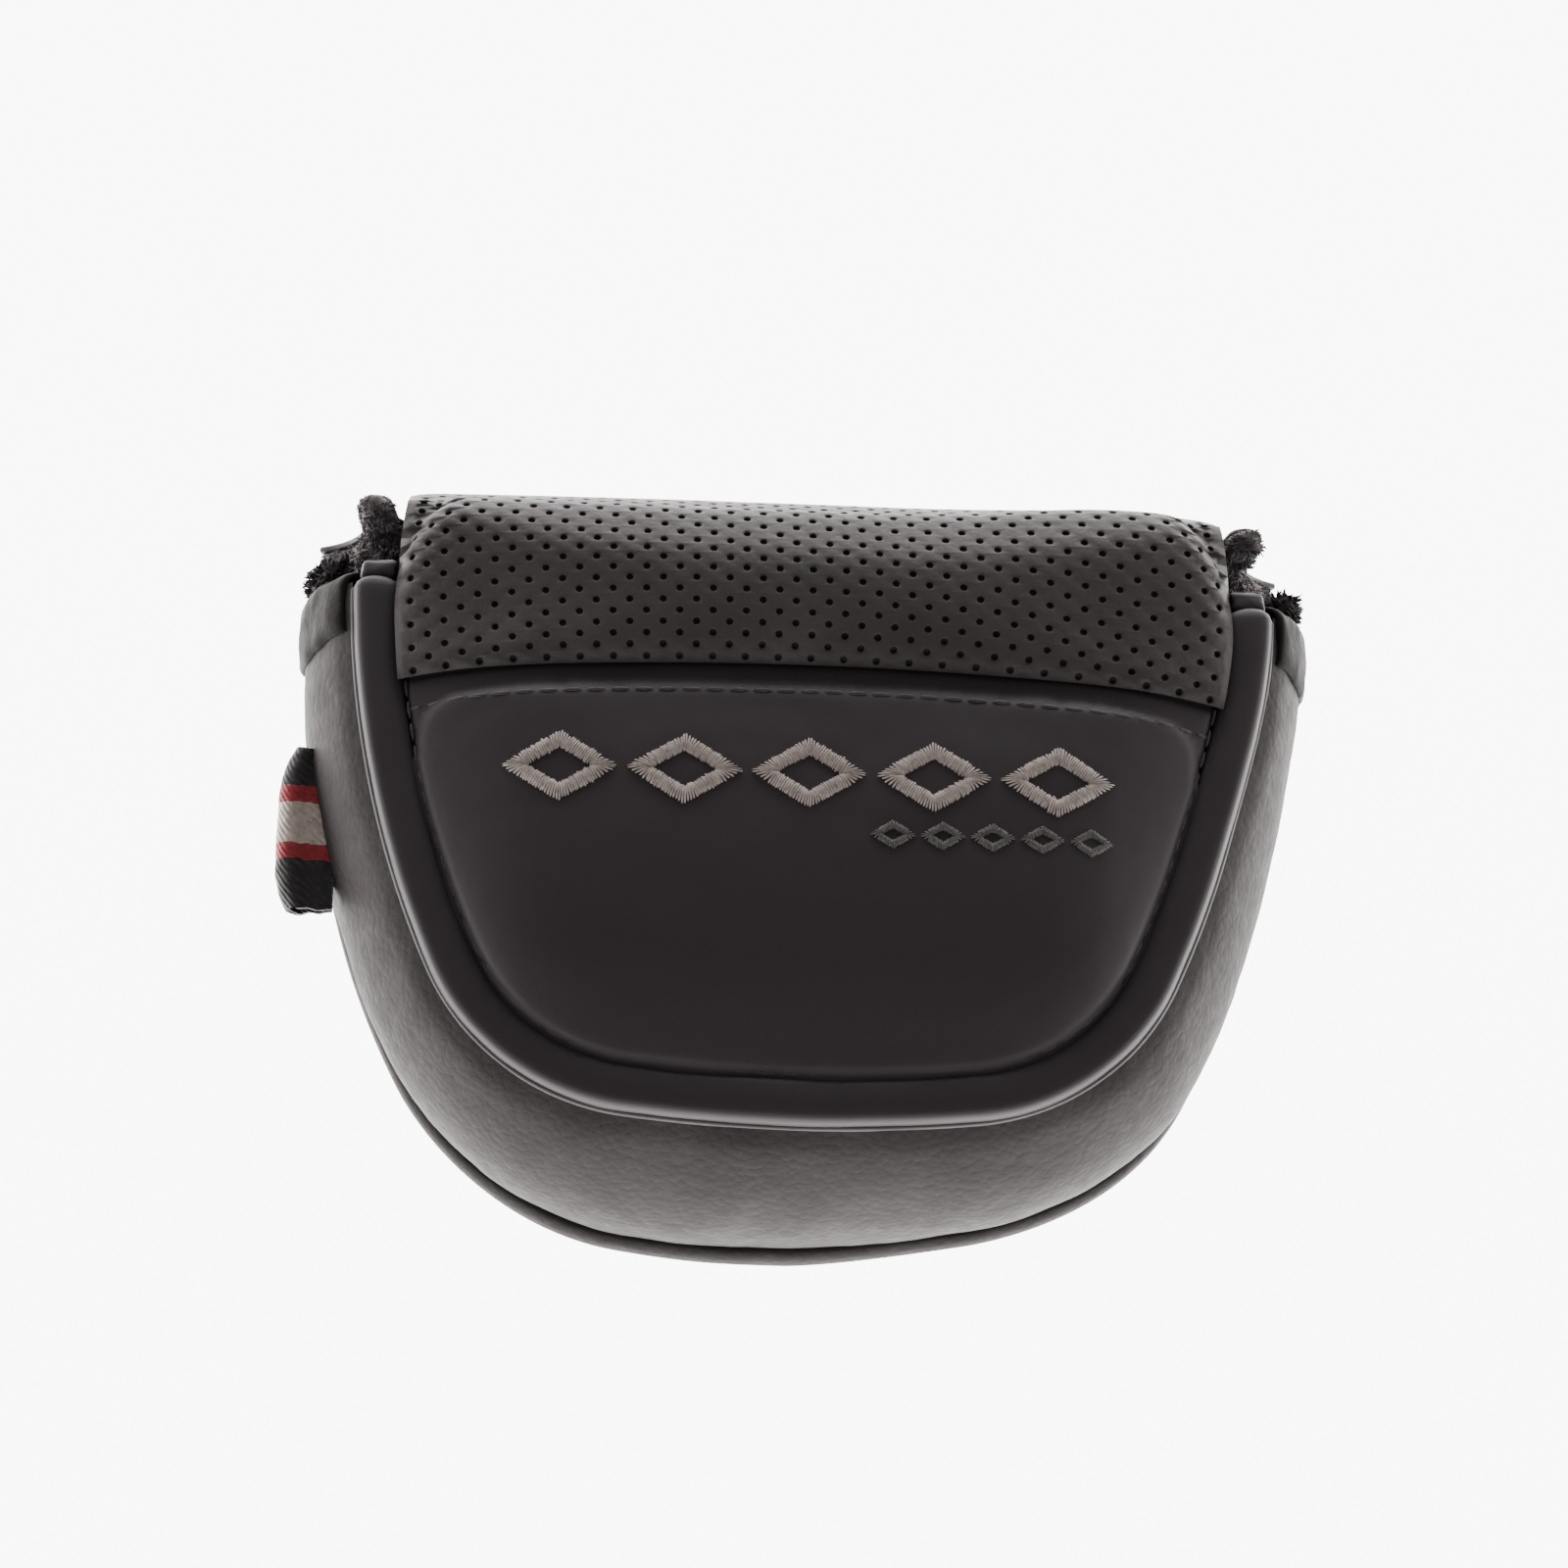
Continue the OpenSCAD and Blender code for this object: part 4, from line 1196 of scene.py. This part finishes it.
class COVER_OT_tongue(bpy.types.Operator):
    """Lining of the flap, and the tongue with its lining, stitching and foot strip"""
    bl_idname = "cover.tongue"
    bl_label = "Flap lining and tongue"

    # Bottom and top of the tongue's leather and of its lining
    SKIN_LAYER = (0.0, 1.15)
    LINING_LAYER = (2.35, 3.2)
    # The tongue's stitches lie no lower than this, clear of the table
    STITCH_FLOOR = -0.12

    def execute(self, context):
        shape = Shape()
        self.flap_lining(shape)
        lo, hi = (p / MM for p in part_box("tongue_leather"))
        skin = self.plate("tongue_skin", lo, hi, self.SKIN_LAYER)
        finish_piece(skin, "tongue", "leatherette", ["leatherette"], "tongue_leather")
        lining = self.plate("tongue_plush", lo, hi, self.LINING_LAYER)
        finish_piece(lining, "tongue", "fleece", ["plush"], "tongue_lining")
        tufts(lining, 13000, shape.pile * 0.5, 0.28, 42, keep=lambda p, n: n[:, 2] > 0.5)
        self.stitches(shape, lo, hi)
        self.foot(hi)
        return {"FINISHED"}

    def foot(self, hi):
        """The strip of leather that turns the corner from the flap to the tongue."""
        turn = [(50.5, 2.4), (50.48, 1.2), (50.25, 0.5), (49.7, 0.12), (49.2, 0.0), (48.6, 0.0)]
        inner = [(48.6, 1.0), (49.1, 1.0), (49.35, 1.15), (49.5, 1.35), (49.6, 1.7), (49.6, 2.4)]
        loop = turn + inner
        wide = hi.x - 0.3
        steps, n = 40, len(loop)
        rows = [(wide * (1 - 2 * i / steps), y, z) for i in range(steps + 1) for y, z in loop]
        faces = grid_faces(steps + 1, n, wrap=True)
        faces += [tuple(range(n)), tuple(range(steps * n, (steps + 1) * n))[::-1]]
        strip = smooth(face_out(make_object("flap_foot_strip", rows, faces)), 60)
        paint(strip, material("leatherette"))
        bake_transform(strip)

    def flap_lining(self, shape):
        fold = Folded(shape)
        width = FLAP_HIGH.x / MM - 1.2
        behind = 2.9
        down, steps = 26, 40
        points = []
        for l in np.linspace(fold.pad_l + 6, fold.total - 3.6, down):
            y, z = fold.flap_point(l)
            points += [(width * (1 - 2 * i / steps), y - behind, z) for i in range(steps + 1)]
        lining = make_object("flap_plush", points, grid_faces(down, steps + 1))
        apply_modifier(lining, "SOLIDIFY", thickness=1.2 * MM, offset=-1)
        ruffle(lining, 0.25, 3, 41)
        paint(lining, material("plush"))
        tufts(lining, 13000, shape.pile * 0.7, 0.28, 43, keep=lambda p, n: n[:, 1] < -0.3)
        finish_piece(lining, "flap", "fleece", ["plush"], "flap_lining")

    def outline(self, lo, hi, inset=0.0, corner=8.0, top_gap=0.0):
        """Half of the tongue's outline from its root round a corner to its tip, mirrored."""
        w = hi.x - inset
        r = corner - inset
        right = [(w, hi.y - top_gap - (hi.y - lo.y - corner - top_gap) * i / 14) for i in range(14)]
        for i in range(13):
            a = -math.pi / 2 * i / 12
            right.append((hi.x - corner + r * math.cos(a), lo.y + corner + r * math.sin(a)))
        for i in range(1, 12):
            right.append(((hi.x - corner) * (1 - i / 11), lo.y + inset))
        return right + [(-x, y) for x, y in reversed(right[:-1])]

    def plate(self, name, lo, hi, layer):
        """One flat layer of the tongue, with eased edges."""
        low, high = layer
        obj = filled(name, [(x, y, low) for x, y in self.outline(lo, hi)], (0, 0, high - low))
        apply_modifier(obj, "BEVEL", width=0.25 * MM, segments=2, limit_method="ANGLE")
        return smooth(obj, 40)

    def stitches(self, shape, lo, hi):
        line = self.outline(lo, hi, inset=2.2, top_gap=1.5)
        places = []
        for point, along in spaced([(x, y, 0.0) for x, y in line], shape.stitch + 0.7):
            places.append((point + np.array([0, 0, 0.02]), along, (0, 0, -1)))
        thread = lay_stitches("tongue_stitching", places, shape.stitch, 0.5, 0.5)
        for v in thread.data.vertices:
            v.co.z = max(v.co.z, self.STITCH_FLOOR * MM)
        finish_piece(thread, "tongue", "black_thread", ["black thread"], "tongue_thread")


# ---------- Shaft tab ----------

class COVER_OT_shaft_tab(bpy.types.Operator):
    """Plush shaft tab with its two ears, and its leather face"""
    bl_idname = "cover.shaft_tab"
    bl_label = "Shaft tab"

    def execute(self, context):
        shape = Shape()
        low, high = TAB_LOW / MM, TAB_HIGH / MM
        skin_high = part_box("tab_leather")[1] / MM
        pile = self.layer("shaft_tab_plush", shape, low.y + 0.1, high.y + 0.5, 1.6)
        apply_modifier(pile, "REMESH", mode="VOXEL", voxel_size=0.75 * MM)
        apply_modifier(pile, "SMOOTH", factor=0.8, iterations=4)
        ruffle(pile, 0.55, 2.6, 51)
        ruffle(pile, 0.25, 0.9, 52)
        paint(pile, material("plush"))
        tufts(pile, 16000, shape.pile * 0.34, 0.14, 53, stray=0.04, keep=lambda p, n: n[:, 1] < 0.6)
        # The tab's plush takes the lighter copy of the black fleece, painted light on its lit ears.
        finish_piece(pile, "shaft_tab", "fleece", ["plush painted lit"], "tab_fleece")
        skin = self.layer("shaft_tab_skin", shape, high.y + 0.35, skin_high.y, 0.0)
        apply_modifier(skin, "BEVEL", width=0.3 * MM, segments=2, limit_method="ANGLE")
        smooth(skin, 40)
        finish_piece(skin, "shaft_tab", "leatherette", ["leatherette"], "tab_leather")
        return {"FINISHED"}

    def layer(self, name, shape, near, far, rise):
        """The tab's face as one filled outline, pulled to its thickness."""
        low, high = TAB_LOW / MM, TAB_HIGH / MM
        foot = low.z
        gap = FLAP_HIGH.x / MM + 0.7
        ear = shape.half
        hollow_r, knob_r = 11.0, 2.0
        middle = 21.0
        right = [(0, foot), (high.x, foot), (high.x, foot + 4.5)]
        for i in range(11):
            a = math.radians(-112 - 68 * i / 10)
            right.append((ear + hollow_r * (1 + math.cos(a)), foot + 6 + hollow_r * (1 + math.sin(a))))
        knob = (ear - 1.7, high.z + rise - 1.2)
        right += [(knob[0] + knob_r * math.cos(a), knob[1] + knob_r * math.sin(a))
                  for a in np.radians(range(0, 181, 20))]
        right += [(gap + 1.5, middle + 3.5), (gap, middle + 1.5), (gap - 2, middle), (0, middle)]
        line = right + [(-x, z) for x, z in reversed(right[1:-1])]
        return filled(name, [(x, near, z) for x, z in line], (0, far - near, 0))


# ---------- Stitching ----------

class COVER_OT_topstitching(bpy.types.Operator):
    """Topstitches in the groove and along the arched seam"""
    bl_idname = "cover.topstitching"
    bl_label = "Topstitching"

    def execute(self, context):
        shape = Shape()
        floor = shape.seam_height - 0.4
        pitch = shape.stitch + 0.55
        inside_seam = -5.75
        line = [(x, y, floor) for x, y in shape.run(inside_seam, shape.seam_height, shape.mouth_front - 2)]
        places = [(point, along, (0, 0, 1)) for point, along in spaced(line, pitch)]
        thread = lay_stitches("groove_stitching", places, shape.stitch, 0.4, 0.3)
        finish_piece(thread, "cover", "black_thread", ["black thread"], "groove_thread")
        reach = shape.half - 7.2
        below_seam = 3.7
        xs = np.linspace(-reach, reach, 60)
        seam = [(x, shape.arch(x, below_seam), shape.smooth_pad(x, shape.arch(x, below_seam))) for x in xs]
        places = [(point, along, (0, 0, 1)) for point, along in spaced(seam, pitch)]
        thread = lay_stitches("seam_stitching", places, shape.stitch, 0.5, 0.45)
        finish_piece(thread, "cover", "black_thread", ["black thread"], "seam_thread")
        return {"FINISHED"}


class COVER_OT_embroidery(bpy.types.Operator):
    """Two rows of hollow lozenges in satin stitch on the smooth pad"""
    bl_idname = "cover.embroidery"
    bl_label = "Satin stitched lozenges"

    COUNT = 5
    # The share of its pitch that a lozenge fills
    FILL = 0.93
    # Width of the large and the small row's stroke, then its threads' spacing, half thickness and lift
    LARGE = (1.95, 0.30, 0.155, 0.42)
    SMALL = (0.95, 0.24, 0.12, 0.26)

    def execute(self, context):
        shape = Shape()
        rows = (
            ("embroidery_band", "embroidery_lozenges", "pale_thread", "pale thread", self.LARGE, 61),
            ("embroidery_row", "embroidery_small_lozenges", "grey_thread", "grey thread", self.SMALL, 62))
        for node, name, slot, finish, satin, seed in rows:
            lo, hi = (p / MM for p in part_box(node))
            obj = self.row(shape, name, lo, hi, satin, seed)
            finish_piece(obj, "cover", slot, [finish], node)
        return {"FINISHED"}

    def row(self, shape, name, lo, hi, satin, seed):
        """A row of lozenges that fills the box from lo to hi."""
        rng = np.random.default_rng(seed)
        verts, faces = [], []
        stroke = satin[0]
        centre = ((lo.x + hi.x) / 2, (lo.y + hi.y) / 2)
        pitch = (hi.x - lo.x) / (self.COUNT - 1 + self.FILL)
        for i in range(self.COUNT):
            x0 = centre[0] + (i - (self.COUNT - 1) / 2) * pitch
            w = pitch * self.FILL / 2 - stroke * 0.75
            h = (hi.y - lo.y) / 2 - stroke * 0.55
            corners = [np.array(c) for c in ((w, 0.0), (0.0, h), (-w, 0.0), (0.0, -h))]
            for k in range(4):
                a, b = corners[k], corners[(k + 1) % 4]
                before, after = corners[k - 1], corners[(k + 2) % 4]
                self.stroke(shape, (x0, centre[1]), a, b, before, after, satin, rng, verts, faces)
        obj = make_object(name, verts, faces)
        obj.data.polygons.foreach_set("use_smooth", [True] * len(faces))
        return obj

    def stroke(self, shape, origin, a, b, before, after, satin, rng, verts, faces):
        """Threads side by side across one straight stroke, mitred at both corners."""
        stroke, spacing, thick, rise = satin
        along = (b - a) / np.linalg.norm(b - a)
        across_dir = np.array([along[1], -along[0]])
        mitre_a = self.mitre(before, a, b)
        mitre_b = self.mitre(a, b, after)
        count = int(np.linalg.norm(b - a) / spacing)
        for i in range(count):
            t = (i + 0.5) / count
            turn_a = max(0, 1 - t * 4.2)
            turn_b = max(0, 1 - (1 - t) * 4.2)
            line = across_dir * (1 - turn_a - turn_b) + mitre_a * turn_a + mitre_b * turn_b
            middle = a + (b - a) * t
            half = stroke / 2 * (1 + 0.055 * rng.normal())
            skew = along * rng.normal() * 0.04
            start = len(verts)
            for share in (-1.0, -0.82, -0.4, 0.0, 0.4, 0.82, 1.0):
                p = middle + (line + skew * share) * half * share
                x, y = origin[0] + p[0], origin[1] + p[1]
                lift = rise * (1 - abs(share) ** 2.4) + 0.02 * rng.normal()
                z = shape.smooth_pad(x, y) + lift
                girth = thick * (0.5 if abs(share) == 1 else 1)
                for k in range(5):
                    turn = 2 * math.pi * k / 5
                    side = along * math.cos(turn) * girth
                    verts.append((x + side[0], y + side[1], z + math.sin(turn) * girth))
            faces += [tuple(reversed(f)) for f in grid_faces(7, 5, wrap=True, start=start)]
            faces.append(tuple(range(start, start + 5)))
            faces.append(tuple(range(start + 30, start + 35))[::-1])

    def mitre(self, before, corner, after):
        """The direction across a corner, as long as the mitre needs."""
        u = (corner - before) / np.linalg.norm(corner - before)
        v = (after - corner) / np.linalg.norm(after - corner)
        out = np.array([u[1] + v[1], -u[0] - v[0]])
        out /= np.linalg.norm(out)
        return out * min(1.6, 1 / max(0.3, abs(out[0] * u[1] - out[1] * u[0])))


# ---------- Ribbon tag ----------

class COVER_OT_ribbon(bpy.types.Operator):
    """Striped ribbon folded into a loop at the side"""
    bl_idname = "cover.ribbon"
    bl_label = "Ribbon tag"

    def execute(self, context):
        low, high = TAG_LOW / MM, TAG_HIGH / MM
        z = (low.z + high.z) / 2
        # The loop bulges out to a round end of this radius
        r = 1.9
        thick = 0.55
        out = low.x + r + 0.2
        root = high.x - 0.3
        line = [(root, 0.55), (root - 1.0, 0.62), (out + 1.2, 1.2), (out + 0.5, 1.65)]
        line += [(out + r * math.cos(a), r * math.sin(a)) for a in np.radians(range(100, 261, 16))]
        line += [(out + 0.5, -1.65), (out + 1.2, -1.2), (root - 1.0, -0.62), (root, -0.55)]
        pts = spaced([(x, 0, h) for x, h in line], 0.42)
        rows = []
        wide = 42
        for i in range(wide + 1):
            t = i / wide
            y = low.y + (high.y - low.y) * t
            pinch = 1 - 0.22 * (2 * t - 1) ** 4
            skew = 0.35 * math.sin(3 * t)
            for p, _ in pts:
                x = root + (p[0] - root) * pinch - skew * 0.4 * (root - p[0]) / 5
                rows.append((x, y + 0.12 * math.sin(p[0] * 2), z + p[2] * pinch))
        obj = make_object("ribbon_loop", rows, grid_faces(wide + 1, len(pts)))
        apply_modifier(obj, "SUBSURF", levels=1, render_levels=1)
        ruffle(obj, 0.10, 1.4, 71)
        apply_modifier(obj, "SOLIDIFY", thickness=thick * MM, offset=0)
        smooth(obj, 60)
        finish_piece(obj, "tag", "ribbon", ["striped ribbon"], "tag_loop")
        return {"FINISHED"}


# ---------- Stiffeners, camera, lights ----------

class COVER_OT_inner(bpy.types.Operator):
    """Finish of the boards and magnets inside the back and the tongue"""
    bl_idname = "cover.inner"
    bl_label = "Boards and magnets"

    def execute(self, context):
        finishes = {"land_board": "board", "tongue_board": "board",
                    "land_magnets": "nickel", "tongue_magnets": "nickel"}
        for node, finish in finishes.items():
            paint(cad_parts[node], material(finish))
        return {"FINISHED"}


class COVER_OT_stage(bpy.types.Operator):
    """White table, soft surrounding light and the camera"""
    bl_idname = "cover.stage"
    bl_label = "Stage"

    def execute(self, context):
        self.table()
        self.world()
        self.lights()
        self.camera()
        return {"FINISHED"}

    def table(self):
        """A pale table that glows round the cover, so that it reads as white."""
        bpy.ops.object.select_all(action="DESELECT")
        bpy.ops.mesh.primitive_plane_add(size=6, location=(0, 0, -0.2 * MM))
        floor = bpy.context.active_object
        floor.name = "table"
        bpy.ops.object.transform_apply(location=True)
        n = Nodes("white table")
        shade = n.ramp(n.noise(3), [(0.3, 0.90), (0.7, 0.94)])
        n.join(shade, n.shader.inputs["Base Color"])
        n.shader.inputs["Roughness"].default_value = 0.8
        n.shader.inputs["Emission Color"].default_value = (1.0, 0.985, 0.97, 1)
        far = n.add("ShaderNodeVectorMath", operation="LENGTH")
        n.join(n.place, far.inputs[0])
        fade = n.add("ShaderNodeMapRange", interpolation_type="SMOOTHSTEP")
        n.join(far.outputs["Value"], fade.inputs["Value"])
        for key, value in (("From Min", 0.16), ("From Max", 0.5), ("To Min", 9.0), ("To Max", 2.0)):
            fade.inputs[key].default_value = value
        n.join(fade.outputs["Result"], n.shader.inputs["Emission Strength"])
        paint(floor, n.material)

    def world(self):
        """A surround that is bright low down and dim overhead."""
        world = bpy.data.worlds.new("bright surround")
        bpy.context.scene.world = world
        world.use_nodes = True
        tree = world.node_tree
        coord = tree.nodes.new("ShaderNodeTexCoord")
        split = tree.nodes.new("ShaderNodeSeparateXYZ")
        ramp = tree.nodes.new("ShaderNodeValToRGB")
        stops = [(0.0, 1.0), (0.10, 0.9), (0.35, 0.22), (0.62, 0.072), (1.0, 0.066)]
        while len(ramp.color_ramp.elements) < len(stops):
            ramp.color_ramp.elements.new(0.5)
        for element, (at, value) in zip(ramp.color_ramp.elements, stops):
            element.position = at
            element.color = (value, value * 0.95, value * 0.93, 1)
        tree.links.new(coord.outputs["Generated"], split.inputs["Vector"])
        tree.links.new(split.outputs["Z"], ramp.inputs["Fac"])
        back = tree.nodes["Background"]
        tree.links.new(ramp.outputs["Color"], back.inputs["Color"])
        back.inputs["Strength"].default_value = 2.4

    def lights(self):
        """Four weak softboxes; each has a name, a place, a power in watts and a width."""
        boxes = (
            ("back", (0.0, 0.55, 0.16), 3.0, 0.7), ("left", (-0.6, -0.1, 0.14), 0.4, 0.5),
            ("front", (0.0, -0.6, 0.13), 0.7, 0.6), ("right", (0.6, 0.0, 0.14), 0.4, 0.5))
        for name, place, power, size in boxes:
            data = bpy.data.lights.new(f"{name} softbox", "AREA")
            data.energy = power
            data.shape = "RECTANGLE"
            data.size, data.size_y = size, 0.25
            lamp = bpy.data.objects.new(f"{name} softbox", data)
            lamp.location = place
            lamp.rotation_euler = (-Vector(place)).to_track_quat("-Z", "Y").to_euler()
            bpy.context.scene.collection.objects.link(lamp)

    def camera(self):
        """A camera that looks down on the front from the round end's side, slightly rolled."""
        data = bpy.data.cameras.new("camera")
        data.sensor_width = 36
        data.lens = 78.55
        data.clip_start = 0.01
        cam = bpy.data.objects.new("camera", data)
        height, side, roll = math.radians(71.07), math.radians(8.48), math.radians(10.04)
        distance = 0.440
        target = Vector((-1.9, 11.8, 20.0)) * MM
        flat = math.cos(height)
        away = Vector((-math.sin(side) * flat, -math.cos(side) * flat, math.sin(height)))
        right = (-away).cross(Vector((0, 0, 1))).normalized()
        above = right.cross(-away)
        x = right * math.cos(roll) + above * math.sin(roll)
        y = above * math.cos(roll) - right * math.sin(roll)
        turn = Matrix((x, y, away)).transposed().to_4x4()
        cam.matrix_world = Matrix.Translation(target + away * distance) @ turn
        bpy.context.scene.collection.objects.link(cam)
        bpy.context.scene.camera = cam


class COVER_PT_panel(bpy.types.Panel):
    """The steps that build the cover"""
    bl_label = "Putter Cover"
    bl_idname = "COVER_PT_panel"
    bl_space_type = "VIEW_3D"
    bl_region_type = "UI"
    bl_category = "Putter Cover"

    def draw(self, context):
        for step in STEPS:
            self.layout.operator(step.bl_idname)
        for group in (context.scene.cover_sizes, context.scene.cover_colours):
            for key in group.__annotations__:
                self.layout.prop(group, key)


STEPS = (
    COVER_OT_stage, COVER_OT_front_edge, COVER_OT_smooth_pad, COVER_OT_perforated, COVER_OT_side_band,
    COVER_OT_back, COVER_OT_tongue, COVER_OT_shaft_tab, COVER_OT_topstitching, COVER_OT_embroidery,
    COVER_OT_ribbon, COVER_OT_inner)
CLASSES = (CoverSizes, CoverColours, *STEPS, COVER_PT_panel)


def register():
    for cls in CLASSES:
        bpy.utils.register_class(cls)
    bpy.types.Scene.cover_sizes = bpy.props.PointerProperty(type=CoverSizes)
    bpy.types.Scene.cover_colours = bpy.props.PointerProperty(type=CoverColours)


def unregister():
    del bpy.types.Scene.cover_colours
    del bpy.types.Scene.cover_sizes
    for cls in reversed(CLASSES):
        bpy.utils.unregister_class(cls)


def main():
    register()
    for step in STEPS:
        getattr(bpy.ops.cover, step.bl_idname.split(".")[1])()


if __name__ == "__main__":
    main()
